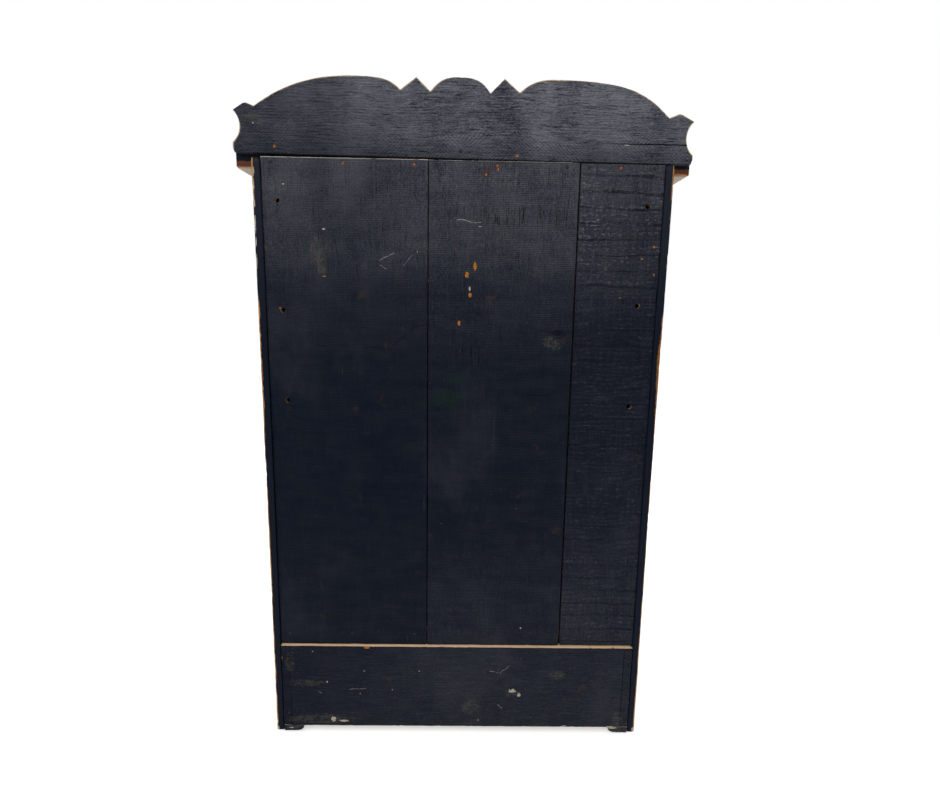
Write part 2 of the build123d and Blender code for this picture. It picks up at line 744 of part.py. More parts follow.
parts = {
    "side_left": side_board(-1),
    "side_right": side_board(1),
    "cornice_board": cornice_board(),
    "crest_board": crest_board(),
    "back_plank_wide": back_plank(0),
    "back_plank_middle": back_plank(1),
    "back_plank_narrow": back_plank(2),
    "floor_board": floor_board(),
    "base_board": base_board(),
    "back_apron": back_apron(),
    "back_feet": pair(back_foot),
    "front_feet": pair(front_foot),
    "front_plinth": front_plinth(),
    "frieze_rail": frieze_rail(),
    "door_stop_strip": stop_strip(),
    "hanging_rail": hanging_rail(),
    "rail_sockets": pair(rail_socket),
    "plank_nails": nails(all_plank_nails, (0, -1, 0), plank_nail_length),
    "crest_nails": nails(crest_nail_spots, (0, -1, 0), plank_nail_length),
    "base_nails": nails(apron_nail_spots, (0, -1, 0), plank_nail_length),
    "cornice_nails": nails(cornice_nail_spots(1) + cornice_nail_spots(-1), (0, 0, -1), cornice_nail_length),
    "side_nails_left": nails(side_nail_spots(-1), (1, 0, 0), side_nail_length),
    "side_nails_right": nails(side_nail_spots(1), (-1, 0, 0), side_nail_length),
    "drawer_front": drawer_front(),
    "drawer_side_left": drawer_side(-1),
    "drawer_side_right": drawer_side(1),
    "drawer_back": drawer_back(),
    "drawer_bottom": drawer_bottom(),
    "drawer_knobs": pair(lambda side: knob(side * drawer_knob_spacing / 2, drawer_knob_z)),
    "turn_button": turn_button(),
    "turn_button_screw": button_screw(),
    "hinge_case_screws": hinge_screws((-1, 1), False),
}
drawer_nail_solids = nails(drawer_front_nail_spots, (0, 1, 0), plank_nail_length).solids()
for side in (1, -1):
    drawer_nail_solids += nails(drawer_nail_spots[side], (-side, 0, 0), drawer_nail_length).solids()
parts["drawer_nails"] = Compound(children=list(drawer_nail_solids))

for name, side in (("left", -1), ("right", 1)):
    place = mirrored if side < 0 else lambda solid: solid
    parts[f"door_{name}_meeting_stile"] = place(meeting_stile())
    parts[f"door_{name}_hinge_stile"] = place(hinge_stile())
    parts[f"door_{name}_top_rail"] = place(top_rail())
    parts[f"door_{name}_middle_rail"] = place(middle_rail())
    parts[f"door_{name}_bottom_rail"] = place(bottom_rail())
    parts[f"door_{name}_upper_panel"] = place(upper_panel())
    parts[f"door_{name}_lower_panel"] = place(lower_panel())
    parts[f"door_{name}_knob"] = knob(knob_x * side, knob_z)
    parts[f"hinge_{name}_door_leaves"] = hinge_group(lambda z: hinge_leaf(side, z, True))
    parts[f"hinge_{name}_case_leaves"] = hinge_group(lambda z: hinge_leaf(side, z, False))
    parts[f"hinge_{name}_pins"] = hinge_group(lambda z: hinge_pin(side, z))
    parts[f"hinge_{name}_door_screws"] = hinge_screws((side,), True)

for name, solid in parts.items():
    export_step(solid, f"parts/{name}.step")
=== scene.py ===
import functools
import math

import bmesh
import bpy
import numpy as np
from bpy.props import FloatProperty, FloatVectorProperty, IntProperty, PointerProperty
from mathutils import Matrix, Vector
from mathutils.geometry import delaunay_2d_cdt


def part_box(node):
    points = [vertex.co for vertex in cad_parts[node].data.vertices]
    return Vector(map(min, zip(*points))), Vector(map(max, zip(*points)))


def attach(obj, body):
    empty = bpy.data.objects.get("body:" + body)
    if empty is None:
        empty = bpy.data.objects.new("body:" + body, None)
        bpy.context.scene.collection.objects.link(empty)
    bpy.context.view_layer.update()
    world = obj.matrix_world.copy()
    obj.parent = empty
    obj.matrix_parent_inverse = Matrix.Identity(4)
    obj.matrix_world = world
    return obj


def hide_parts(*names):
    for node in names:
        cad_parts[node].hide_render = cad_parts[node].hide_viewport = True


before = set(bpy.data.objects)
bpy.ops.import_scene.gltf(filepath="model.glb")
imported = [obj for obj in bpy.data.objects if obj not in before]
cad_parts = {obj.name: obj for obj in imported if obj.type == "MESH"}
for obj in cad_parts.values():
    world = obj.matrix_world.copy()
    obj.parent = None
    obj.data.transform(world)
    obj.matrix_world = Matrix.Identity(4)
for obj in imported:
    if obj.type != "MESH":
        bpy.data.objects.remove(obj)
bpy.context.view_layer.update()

bl_info = {
    "name": "Miniature wardrobe",
    "version": (1, 0, 0),
    "blender": (4, 5, 0),
    "location": "3D View > Sidebar > Wardrobe",
    "description": "Builds the boards, fittings and old paint of a small nailed wardrobe",
    "category": "Object",
}

MM = 0.001

# ---------------------------------------------------------------- places read from the frame
SIDE_LOW, SIDE_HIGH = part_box("side_right")
CORNICE_LOW, CORNICE_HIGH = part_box("cornice_board")
FRONT_Y = SIDE_LOW[1]
BACK_Y = SIDE_HIGH[1]
HALF_WIDTH = SIDE_HIGH[0]
PLANK_BACK_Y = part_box("back_plank_wide")[1][1]
APRON_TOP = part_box("back_apron")[1][2]


# ---------------------------------------------------------------- colours of small marks
PALE_MARK = (0.56, 0.50, 0.41)
PALE_SPECK = (0.30, 0.27, 0.23)
PALE_SCRATCH = (0.50, 0.48, 0.43)
FINE_SCRATCH = (0.16, 0.16, 0.16)
RUBBED_STAIN = (0.40, 0.28, 0.18)
FRESH_WOOD = (0.50, 0.20, 0.035)
FRESH_WOOD_DARK = (0.30, 0.10, 0.02)
BARE_STRIP = (0.26, 0.10, 0.018)
SMEAR = (0.098, 0.092, 0.072)
GREEN_STAIN = (0.010, 0.024, 0.013)
RUST_STAIN = (0.055, 0.018, 0.012)
KNOT = (0.001, 0.001, 0.002)
DEEP_CUT = (0.0008, 0.0008, 0.0012)
DARK_SPLIT = (0.001, 0.001, 0.0015)

# ---------------------------------------------------------------- how the mesh of a board is laid out
RING_SHARES = (0.25, 0.6, 1.0, 1.8)  # rings of points beside an outline, as shares of the arris
EDGE_ROWS = (0.08, 0.3, 0.5, 0.7, 0.92)  # rows of points down an edge, as shares of the thickness
THIN_EDGE_ROWS = (0.2, 0.8)
THIN_BOARD = 3 * MM
HOLE_ARRIS = 0.12 * MM


# ---------------------------------------------------------------- settings a user would change
class WardrobeWoodSettings(bpy.types.PropertyGroup):
    arris: FloatProperty(name="Arris rounding", description="How far the edges of the boards are worn round",
                         default=0.7 * MM, min=0.0, unit="LENGTH")
    nick_depth: FloatProperty(name="Nick depth", description="Depth of the dents along the edges",
                              default=0.5 * MM, min=0.0, unit="LENGTH")
    ridge_spacing: FloatProperty(name="Saw ridge spacing",
                                 description="Distance between the ridges of the rough board",
                                 default=3.4 * MM, min=0.5 * MM, unit="LENGTH")
    ridge_depth: FloatProperty(name="Saw ridge depth", description="Depth of those ridges",
                               default=0.22 * MM, min=0.0, unit="LENGTH")
    warp: FloatProperty(name="Warp", description="How far the long boards have bowed",
                        default=0.5 * MM, min=0.0, unit="LENGTH")
    grid: FloatProperty(name="Mesh grid", description="Distance between points on a board's faces",
                        default=2.4 * MM, min=0.5 * MM, unit="LENGTH")
    seed: IntProperty(name="Seed", description="Changes the dents and wobbles", default=7)


class WardrobePaintSettings(bpy.types.PropertyGroup):
    paint: FloatVectorProperty(name="Old paint", description="Near-black blue paint of the back",
                               subtype="COLOR", size=3, default=(0.0029, 0.0061, 0.0148), min=0.0, max=1.0)
    # The grey that the old paint is mixed toward: chalky dust and handling, and also the painted sheen of light on the
    # back.
    chalk_and_sheen: FloatVectorProperty(name="Chalked paint", description="Paint gone grey with dust and handling",
                               subtype="COLOR", size=3, default=(0.125, 0.127, 0.148), min=0.0, max=1.0)
    stain: FloatVectorProperty(name="Stain", description="Reddish-brown varnish of the sides and front",
                               subtype="COLOR", size=3, default=(0.19, 0.058, 0.021), min=0.0, max=1.0)
    stain_dark: FloatVectorProperty(name="Dark stain",
                                    description="Stain where it lies thick or is rubbed with dirt",
                                    subtype="COLOR", size=3, default=(0.060, 0.018, 0.009), min=0.0, max=1.0)
    raw_wood: FloatVectorProperty(name="Raw wood", description="Pine where the paint has chipped away",
                                  subtype="COLOR", size=3, default=(0.50, 0.25, 0.085), min=0.0, max=1.0)
    pale_wood: FloatVectorProperty(name="Pale wood", description="Pine on the unfinished faces",
                                   subtype="COLOR", size=3, default=(0.56, 0.42, 0.27), min=0.0, max=1.0)
    rust: FloatVectorProperty(name="Rust", description="Heads of the nails", subtype="COLOR",
                              size=3, default=(0.36, 0.13, 0.045), min=0.0, max=1.0)
    brass: FloatVectorProperty(name="Brass", description="Hinges and turn button", subtype="COLOR",
                               size=3, default=(0.50, 0.34, 0.13), min=0.0, max=1.0)


class WardrobeStageSettings(bpy.types.PropertyGroup):
    distance: FloatProperty(name="Camera distance", description="From the back boards to the camera",
                            default=0.4037, min=0.1, unit="LENGTH")
    height: FloatProperty(name="Camera height", description="Above the floor", default=0.3538, unit="LENGTH")
    offset: FloatProperty(name="Camera offset", description="To the right-hand side, seen from the front",
                          default=-0.0020, unit="LENGTH")
    pitch: FloatProperty(name="Pitch", description="How far the camera looks down",
                         default=math.radians(9.25), subtype="ANGLE")
    yaw: FloatProperty(name="Yaw", description="How far the camera is turned",
                       default=math.radians(-0.70), subtype="ANGLE")
    roll: FloatProperty(name="Roll", description="How far the camera leans",
                        default=math.radians(0.92), subtype="ANGLE")
    lens: FloatProperty(name="Lens", description="Focal length in millimetres on a 36 mm sensor", default=20.70)
    key: FloatProperty(name="Key light", description="Power of the large light above and behind the camera",
                       default=6.0)
    fill: FloatProperty(name="Sky", description="Strength of the even light from all around", default=0.62)
    floor: FloatVectorProperty(name="Floor", description="Colour of the floor", subtype="COLOR",
                               size=3, default=(0.84, 0.84, 0.84), min=0.0, max=1.0)


def wood():
    return bpy.context.scene.wardrobe_wood


def paint():
    return bpy.context.scene.wardrobe_paint


# ---------------------------------------------------------------- smooth random values
def hashed(*cells):
    """Repeatable random numbers from 0 to 1 for whole-number cells."""
    mixed = np.zeros_like(np.asarray(cells[0], dtype=np.float64))
    for k, cell in enumerate(cells):
        mixed = mixed + np.asarray(cell, dtype=np.float64) * (12.9898 + 65.233 * k)
    return np.abs(np.sin(mixed) * 43758.5453) % 1.0


def wobble(points, scale, seed=0):
    """Smooth noise from -1 to 1 at points, (n, k) in metres, with features of about that scale."""
    cells = np.asarray(points, dtype=np.float64) / scale + 17.31 * (seed + 1)
    base = np.floor(cells)
    part = cells - base
    part = part * part * (3 - 2 * part)
    total = np.zeros(len(cells))
    for corner in range(2 ** cells.shape[1]):
        shift = [(corner >> k) & 1 for k in range(cells.shape[1])]
        weight = np.ones(len(cells))
        for k, step in enumerate(shift):
            weight = weight * (part[:, k] if step else 1 - part[:, k])
        total += weight * hashed(*[base[:, k] + shift[k] for k in range(cells.shape[1])])
    return total * 2 - 1


# ---------------------------------------------------------------- outlines
def cap_loops(node, axis, top=True):
    """Closed outlines, the longest first, of a CAD board's flat face across its thickness axis."""
    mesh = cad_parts[node].data
    points = np.empty(len(mesh.vertices) * 3)
    mesh.vertices.foreach_get("co", points)
    points = points.reshape(-1, 3)
    mesh.calc_loop_triangles()
    corners = np.empty(len(mesh.loop_triangles) * 3, dtype=np.int64)
    mesh.loop_triangles.foreach_get("vertices", corners)
    corners = corners.reshape(-1, 3)
    plane = points[:, axis].max() if top else points[:, axis].min()
    flat = np.abs(points[:, axis] - plane) < 2e-6
    across = [k for k in range(3) if k != axis]
    names = {}
    label = [names.setdefault((round(p[across[0]] * 1000000.0), round(p[across[1]] * 1000000.0)), len(names))
             for p in points]
    place = np.array(list(names), dtype=np.float64) * 1e-6
    edges = set()
    for a, b, c in corners[flat[corners].all(axis=1)]:
        for p, q in ((label[a], label[b]), (label[b], label[c]), (label[c], label[a])):
            if (q, p) in edges:
                edges.remove((q, p))
            else:
                edges.add((p, q))
    following = {p: q for p, q in edges if p != q}
    loops = []
    while following:
        start, here = next(iter(following.items()))
        loop = [start]
        del following[start]
        while here != start:
            loop.append(here)
            here = following.pop(here)
        loops.append(place[loop])
    return sorted(loops, key=lambda loop: -np.ptp(loop, axis=0).sum())


def rectangle(low, high):
    return np.array([(low[0], low[1]), (high[0], low[1]), (high[0], high[1]), (low[0], high[1])])


def refine(loop, step):
    """The loop with long edges divided."""
    points = []
    for here, after in zip(loop, np.roll(loop, -1, axis=0)):
        count = max(1, int(np.ceil(np.linalg.norm(after - here) / step)))
        points += [here + (after - here) * k / count for k in range(count)]
    return np.array(points)


def edge_distance(points, loop):
    """Distance from each point to the nearest edge of a loop."""
    best = np.full(len(points), 1e9)
    for a, b in zip(loop, np.roll(loop, -1, axis=0)):
        along = b - a
        share = np.clip(((points - a) @ along) / max(along @ along, 1e-18), 0, 1)
        best = np.minimum(best, np.hypot(*(points - a - share[:, None] * along).T))
    return best


def inside(points, loop):
    """True for the points that a loop goes round."""
    crossings = np.zeros(len(points), dtype=bool)
    for a, b in zip(loop, np.roll(loop, -1, axis=0)):
        if a[1] == b[1]:
            continue
        spans = (a[1] > points[:, 1]) != (b[1] > points[:, 1])
        crossings ^= spans & (points[:, 0] < a[0] + (points[:, 1] - a[1]) * (b[0] - a[0]) / (b[1] - a[1]))
    return crossings


# ---------------------------------------------------------------- boards
def unit_rows(vectors):
    return vectors / np.maximum(np.linalg.norm(vectors, axis=1), 1e-9)[:, None]


def face_points(outer, holes, arris, grid):
    """Points for a board's face: its outlines, rings beside them and a grid between."""
    run = np.roll(outer, -1, axis=0) - np.roll(outer, 1, axis=0)
    inward = unit_rows(np.stack([-run[:, 1], run[:, 0]], axis=1))
    rings = []
    for share in RING_SHARES:
        moved = outer + inward * arris * share
        if inside(moved, outer).mean() < 0.5:
            moved = outer - inward * arris * share
        rings.append(moved[inside(moved, outer) & (edge_distance(moved, outer) > arris * share * 0.8)])
    lows, size = outer.min(axis=0), np.ptp(outer, axis=0)
    us, vs = (np.arange(lows[k] + grid[k] * 0.5, lows[k] + size[k], grid[k]) for k in (0, 1))
    field = np.stack(np.meshgrid(us, vs), axis=-1).reshape(-1, 2)
    field = field[inside(field, outer)]
    field = field[edge_distance(field, outer) > arris * RING_SHARES[-1] + min(grid) * 0.35]
    for hole in holes:
        spread = hole + unit_rows(hole - hole.mean(axis=0)) * 0.5 * MM
        rings.append(spread[inside(spread, outer)])
        field = field[(edge_distance(field, hole) > 0.9 * MM) & ~inside(field, hole)]
    return np.concatenate([outer, *holes, *rings, field])


def fill_face(points, outlines):
    """The points and triangles that fill a face between its outlines."""
    edges, start = [], 0
    for loop in outlines:
        edges += [(start + k, start + (k + 1) % len(loop)) for k in range(len(loop))]
        start += len(loop)
    flat, _, tris, _, _, _ = delaunay_2d_cdt([Vector(p) for p in points / MM], edges, [], 1, 1e-4)
    flat = np.array([(v.x, v.y) for v in flat]) * MM
    tris = np.array([t for t in tris if len(t) == 3])
    middles = flat[tris].mean(axis=1)
    keep = inside(middles, outlines[0])
    for hole in outlines[1:]:
        keep &= ~inside(middles, hole)
    return flat, tris[keep]


def arris_drop(flat, outlines, edge, arris, seed):
    """How far a face falls away at its worn arrises, its holes and its dents."""
    worn = arris * (0.62 + 0.38 * wobble(flat, 9 * MM, seed) + 0.25 * wobble(flat, 2.5 * MM, seed + 1))
    worn = np.clip(worn, arris * 0.2, arris * 1.3)
    near = np.clip(1 - edge / worn, 0, 1)
    drop = worn * (1 - np.sqrt(np.clip(1 - near * near, 0, 1)))
    for hole in outlines[1:]:
        drop = np.maximum(drop, np.where(edge_distance(flat, hole) < 0.3 * MM, HOLE_ARRIS, 0))
    return drop + dents(flat, outlines[0], wood().nick_depth, seed)


def edge_rows(flat, outlines, top, bottom, thickness, seed):
    """Points down the edges of a board, their distances to an arris, and the faces between them."""
    places, rims, quads = [], [], []
    count = len(flat)
    begun = 2 * count
    for loop in outlines:
        ids = np.array([nearest(flat, p) for p in loop])
        levels = [ids]
        for share in EDGE_ROWS if thickness > THIN_BOARD else THIN_EDGE_ROWS:
            level = np.column_stack([flat[ids], top[ids] * (1 - share) + bottom[ids] * share])
            wave = wobble(level, 4 * MM, seed + 3) * 0.08 * MM
            level[:, :2] += wave[:, None] * 0.5
            places.append(level)
            rims.append(np.minimum(share, 1 - share) * thickness * np.ones(len(ids)))
            levels.append(np.arange(begun, begun + len(ids)))
            begun += len(ids)
        levels.append(ids + count)
        for a, b in zip(levels, levels[1:]):
            quads += [(a[k], a[(k + 1) % len(ids)], b[(k + 1) % len(ids)], b[k]) for k in range(len(ids))]
    return places, rims, quads


def board(name, loops, axis, low, high, body, nodes, slot_name, grid=None, arris=None, shape=None, warp=None,
          seed=0):
    """A sawn board between low and high along axis, with worn arrises, dents and a dense mesh.

    shape(points, edge, side) gives the extra height of a face at points; warp(places) moves the finished points.
    """
    settings = wood()
    grid = grid or (settings.grid, settings.grid)
    thickness = high - low
    arris = min(settings.arris if arris is None else arris, thickness * 0.45)
    outlines = [refine(loops[0], min(grid) * 1.2), *(np.array(loop) for loop in loops[1:])]
    flat, tris = fill_face(face_points(outlines[0], outlines[1:], arris, grid), outlines)
    edge = edge_distance(flat, outlines[0])
    drop = arris_drop(flat, outlines, edge, arris, seed)
    top = high - drop + (shape(flat, edge, 1) if shape else 0)
    bottom = low + drop - (shape(flat, edge, -1) if shape else 0)
    places, rims, quads = edge_rows(flat, outlines, top, bottom, thickness, seed)
    places = np.concatenate([np.column_stack([flat, top]), np.column_stack([flat, bottom]), *places])
    across = [k for k in range(3) if k != axis]
    solid = np.empty_like(places)
    solid[:, [*across, axis]] = places
    if warp:
        solid = solid + warp(solid)
    faces = tris.tolist() + (tris[:, ::-1] + len(flat)).tolist() + [list(map(int, quad)) for quad in quads]
    mesh = bpy.data.meshes.new(name)
    mesh.from_pydata(solid.tolist(), [], faces)
    return finish_mesh(mesh, name, body, nodes, np.concatenate([edge, edge, *rims]))


def nearest(points, place):
    return int(np.argmin(((points - place) ** 2).sum(axis=1)))


def dents(points, loop, depth, seed):
    """Small dents scattered along an outline."""
    rng = np.random.default_rng(seed + wood().seed * 100)
    total = np.zeros(len(points))
    length = np.linalg.norm(loop - np.roll(loop, 1, axis=0), axis=1).sum()
    for _ in range(int(length / 0.028)):
        place = loop[rng.integers(len(loop))]
        radius = rng.uniform(0.8, 2.6) * MM
        stretch = rng.uniform(0.6, 1.8)
        gap = np.hypot((points[:, 0] - place[0]) / stretch, points[:, 1] - place[1])
        total += depth * rng.uniform(0.3, 1.0) * np.clip(1 - gap / radius, 0, 1) ** 2
    return total


def finish_mesh(mesh, name, body, nodes, rims=None):
    """Closes up a new mesh, stores how far each point is from an arris, and hands it to the frame."""
    if rims is not None:
        layer = mesh.attributes.new("arris_distance", "FLOAT", "POINT")
        layer.data.foreach_set("value", np.asarray(rims, dtype=np.float32))
    cleaned = bmesh.new()
    cleaned.from_mesh(mesh)
    bmesh.ops.delete(cleaned, geom=[v for v in cleaned.verts if not v.link_faces], context="VERTS")
    bmesh.ops.recalc_face_normals(cleaned, faces=cleaned.faces)
    cleaned.to_mesh(mesh)
    cleaned.free()
    for polygon in mesh.polygons:
        polygon.use_smooth = True
    made = bpy.data.objects.new(name, mesh)
    bpy.context.scene.collection.objects.link(made)
    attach(made, body)
    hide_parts(*nodes)
    return made


def dress(made, *materials):
    made.data.materials.clear()
    for material in materials:
        made.data.materials.append(material)


def node_board(node, axis, material, body="case", slot_name="painted_pine", top=True, full=False, **extra):
    """The board that stands for one CAD node, cut to that node's own outline."""
    low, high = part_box(node)
    loops = cap_loops(node, axis, top)
    if full:
        across = [k for k in range(3) if k != axis]
        loops[0] = rectangle([low[k] for k in across], [high[k] for k in across])
    extra.setdefault("seed", sum(map(ord, node)) % 97)
    made = board("worn_" + node, loops, axis, low[axis], high[axis], body, [node], slot_name, **extra)
    dress(made, material)
    return made


# ---------------------------------------------------------------- shader helpers
class Signal:
    """A value, vector or colour in a shader. Values add, subtract, multiply and divide like numbers."""

    def __init__(self, socket):
        self.socket = socket
        self.tree = socket.id_data

    def __add__(self, other):
        return maths("ADD", self, other)

    def __radd__(self, other):
        return maths("ADD", other, self)

    def __sub__(self, other):
        return maths("SUBTRACT", self, other)

    def __rsub__(self, other):
        return maths("SUBTRACT", other, self)

    def __mul__(self, other):
        return maths("MULTIPLY", self, other)

    def __truediv__(self, other):
        return maths("DIVIDE", self, other)

    def __rtruediv__(self, other):
        return maths("DIVIDE", other, self)

    def __abs__(self):
        return maths("ABSOLUTE", self)


def feed(made, inputs):
    """Joins or fills the inputs of a shader node."""
    for key, value in inputs.items():
        if isinstance(value, Signal):
            made.id_data.links.new(value.socket, made.inputs[key])
        else:
            made.inputs[key].default_value = value


def put(tree, kind, inputs=None, **settings):
    """Adds a shader node, sets its options and feeds its inputs."""
    made = tree.nodes.new(kind)
    for key, value in settings.items():
        setattr(made, key, value)
    feed(made, inputs or {})
    return made


def outputs_of(made):
    """A shader node's outputs by name."""
    return {socket.name: Signal(socket) for socket in made.outputs}


def maths(operation, a, b=0.0, clamp=False):
    tree = next(value.tree for value in (a, b) if isinstance(value, Signal))
    return Signal(put(tree, "ShaderNodeMath", {0: a, 1: b}, operation=operation, use_clamp=clamp).outputs[0])


def vector_maths(operation, a, inputs, output=0):
    made = put(a.tree, "ShaderNodeVectorMath", {0: a, **inputs}, operation=operation)
    return Signal(made.outputs[output])


def sine(value):
    return maths("SINE", value)


def larger(a, b):
    return maths("MAXIMUM", a, b)


def largest(values):
    """The largest of several shader values at each point."""
    return functools.reduce(larger, values)


def fade(value, start, end, low=0.0, high=1.0):
    """Smooth step from low to high while a value goes from start to end."""
    return Signal(put(value.tree, "ShaderNodeMapRange",
                      {"Value": value, "From Min": start, "From Max": end, "To Min": low, "To Max": high},
                      interpolation_type="SMOOTHSTEP").outputs["Result"])


def blend_value(factor, a, b):
    return Signal(put(factor.tree, "ShaderNodeMix", {0: factor, 2: a, 3: b}).outputs[0])


def blend_colour(factor, a, b):
    """Colour a where the factor is 0 and colour b where it is 1."""
    a, b = (colour if isinstance(colour, Signal) else (*colour, 1.0) for colour in (a, b))
    return Signal(put(factor.tree, "ShaderNodeMix", {0: factor, 6: a, 7: b}, data_type="RGBA").outputs[2])


def clouds(vector, scale, detail=3.0, rough=0.55, distortion=0.0):
    return Signal(put(vector.tree, "ShaderNodeTexNoise",
                      {"Vector": vector, "Scale": scale, "Detail": detail, "Roughness": rough,
                       "Distortion": distortion}).outputs["Fac"])


def stretched(vector, scale=(1, 1, 1), turn=(0, 0, 0), move=(0, 0, 0)):
    return Signal(put(vector.tree, "ShaderNodeMapping",
                      {"Vector": vector, "Scale": scale, "Rotation": turn, "Location": move}).outputs[0])


def parts_of(vector):
    """The X, Y and Z of a vector."""
    return outputs_of(put(vector.tree, "ShaderNodeSeparateXYZ", {0: vector}))


def coordinates(shader):
    return Signal(put(shader.id_data, "ShaderNodeTexCoord").outputs["Object"])


def group(name, values, results, vectors=("Vector",)):
    """A shader node group: what it is given, and the node that takes its results."""
    tree = bpy.data.node_groups.new(name, "ShaderNodeTree")
    for label in vectors:
        tree.interface.new_socket(label, in_out="INPUT", socket_type="NodeSocketVector")
    for label, default in values.items():
        tree.interface.new_socket(label, in_out="INPUT", socket_type="NodeSocketFloat").default_value = default
    for label in results:
        tree.interface.new_socket(label, in_out="OUTPUT", socket_type="NodeSocketFloat")
    return outputs_of(tree.nodes.new("NodeGroupInput")), tree.nodes.new("NodeGroupOutput")


def use(name, vector, values=None):
    """Places a shared group in the material that the vector belongs to."""
    made = put(vector.tree, "ShaderNodeGroup", node_tree=bpy.data.node_groups[name])
    feed(made, {"Vector": vector, **(values or {})})
    return outputs_of(made)


# ---------------------------------------------------------------- shared effects
def make_grain_group():
    """Pine grain that runs along Z of the vector it is given."""
    given, out = group("Pine grain", {"Ring width": 0.006}, ("Rings", "Fibres"))
    long = stretched(given["Vector"], (1.0, 1.0, 0.06))
    swirl = clouds(long, 1.0 / given["Ring width"] * 0.22, 2.0, 0.5, 0.4)
    fine = stretched(given["Vector"], (1.0, 1.0, 0.035))
    feed(out, {"Rings": fade(sine(swirl * 46.0), -0.2, 1.0), "Fibres": clouds(fine, 1400.0, 3.0, 0.6)})


def make_saw_group():
    """Saw marks that run along X and repeat along Z of the vector they are given."""
    given, out = group("Saw marks", {"Spacing": 0.003, "Slant": 0.0, "Unevenness": 0.5}, ("Ridges", "Cuts"))
    parts = parts_of(given["Vector"])
    drift = clouds(stretched(given["Vector"], (0.25, 1.0, 1.0)), 90.0, 3.0)
    drift = (drift - 0.5) * given["Unevenness"]
    height = parts["Z"] + parts["X"] * given["Slant"]
    turns = height / given["Spacing"] + drift * 6.0
    wave = sine(turns * (2 * math.pi))
    patches = fade(clouds(stretched(given["Vector"], (0.3, 1.0, 1.0)), 120.0, 2.0), 0.35, 0.65, 0.25, 1.0)
    feed(out, {"Ridges": fade(wave, -0.6, 1.0) * patches, "Cuts": fade(wave, -0.84, -0.97) * patches})


def make_wear_group():
    """Where paint or varnish has rubbed off the arrises and chipped off the faces."""
    given, out = group("Edge wear", {"Arris distance": 1.0, "Reach": 0.0008, "Amount": 0.5, "Chips": 0.3},
                       ("Bare", "Thin"))
    rough = clouds(given["Vector"], 420.0, 4.0, 0.65)
    patch = clouds(given["Vector"], 55.0, 2.0)
    near = maths("SUBTRACT", 1.0, given["Arris distance"] / given["Reach"], clamp=True)
    score = near + (rough - 0.5) * 1.3
    score += (patch - 0.5) * 2.2
    score += given["Amount"] - 1.0
    rubbed = fade(score, 0.28, 0.42) * fade(near, 0.0, 0.15)
    specks = clouds(given["Vector"], 260.0, 2.0, 0.6)
    level = 0.83 - given["Chips"] * 0.08
    chips = fade(specks - level, 0.0, 0.02)
    feed(out, {"Bare": larger(rubbed, chips), "Thin": fade(score, -0.15, 0.5)})


def make_scuff_group():
    """Fine scratches in three directions and rubbed smears."""
    given, out = group("Scuffs", {"Scratches": 0.5}, ("Lines", "Smears"))
    lines = []
    for k, (turn, squeeze) in enumerate([(0.35, 0.03), (-0.9, 0.05), (1.4, 0.02)]):
        line = stretched(given["Vector"], (1.0, 1.0, squeeze), (0, turn, 0), (k * 3.1, k * 1.7, k * 5.3))
        patch = clouds(stretched(given["Vector"], move=(k * 9.0, 0, k * 4.0)), 34.0, 2.0)
        lines.append(fade(clouds(line, 620.0, 1.0), 0.74, 0.78) * fade(patch, 0.5, 0.68))
    smear = clouds(stretched(given["Vector"], (0.8, 1.0, 0.5)), 26.0, 5.0, 0.62, 0.5)
    feed(out, {"Lines": largest(lines) * given["Scratches"], "Smears": fade(smear, 0.42, 0.74)})


def make_mark_group():
    """One ragged mark at a place, as large as the given half sizes."""
    given, out = group("Mark", {"Raggedness": 0.5}, ("Mask",), ("Vector", "Place", "Half size"))
    apart = vector_maths("SUBTRACT", given["Vector"], {1: given["Place"]})
    scaled = vector_maths("DIVIDE", apart, {1: given["Half size"]})
    length = vector_maths("LENGTH", scaled, {}, "Value")
    rough = clouds(given["Vector"], 900.0, 3.0, 0.6)
    feed(out, {"Mask": fade(length + (rough - 0.5) * given["Raggedness"], 1.0, 0.82)})


def make_weather_group():
    """Dark open checks and pale raised streaks of weathered wood that run along Z."""
    given, out = group("Weathering", {"Scale": 1.0}, ("Checks", "Streaks"))
    bent = clouds(stretched(given["Vector"], (1.0, 1.0, 0.25)), 60.0, 2.0) * 0.012
    bent = Signal(put(bent.tree, "ShaderNodeCombineXYZ", {0: bent, 1: 0.0, 2: 0.0}).outputs[0])
    pushed = vector_maths("ADD", given["Vector"], {1: bent})
    scaled = vector_maths("SCALE", pushed, {"Scale": given["Scale"]})
    checks = clouds(stretched(scaled, (1.0, 1.0, 0.055)), 560.0, 4.0, 0.62)
    streaks = clouds(stretched(scaled, (1.0, 1.0, 0.06), move=(3.0, 0, 7.0)), 700.0, 4.0, 0.62)
    feed(out, {"Checks": fade(checks, 0.42, 0.34), "Streaks": fade(streaks, 0.5, 0.72)})


def make_groups():
    for make in (make_weather_group, make_grain_group, make_saw_group, make_wear_group, make_scuff_group,
                 make_mark_group):
        make()


def saw_marks(vector, spacing, slant, unevenness):
    return use("Saw marks", vector, {"Spacing": spacing, "Slant": slant, "Unevenness": unevenness})


def edge_wear(place, reach, amount, chips):
    """Worn places, from the distance to the nearest arris that each board stores with its points."""
    stored = Signal(put(place.tree, "ShaderNodeAttribute", attribute_name="arris_distance").outputs["Fac"])
    return use("Edge wear", place, {"Arris distance": stored, "Reach": reach, "Amount": amount, "Chips": chips})


def marks(place, places):
    """The largest of several ragged marks, each (x, y, z, half x, half z, raggedness) in millimetres."""
    return largest(use("Mark", place, {"Place": (x * MM, y * MM, z * MM), "Raggedness": ragged,
                                       "Half size": (half_x * MM, 6 * MM, half_z * MM)})["Mask"]
                   for x, y, z, half_x, half_z, ragged in places)


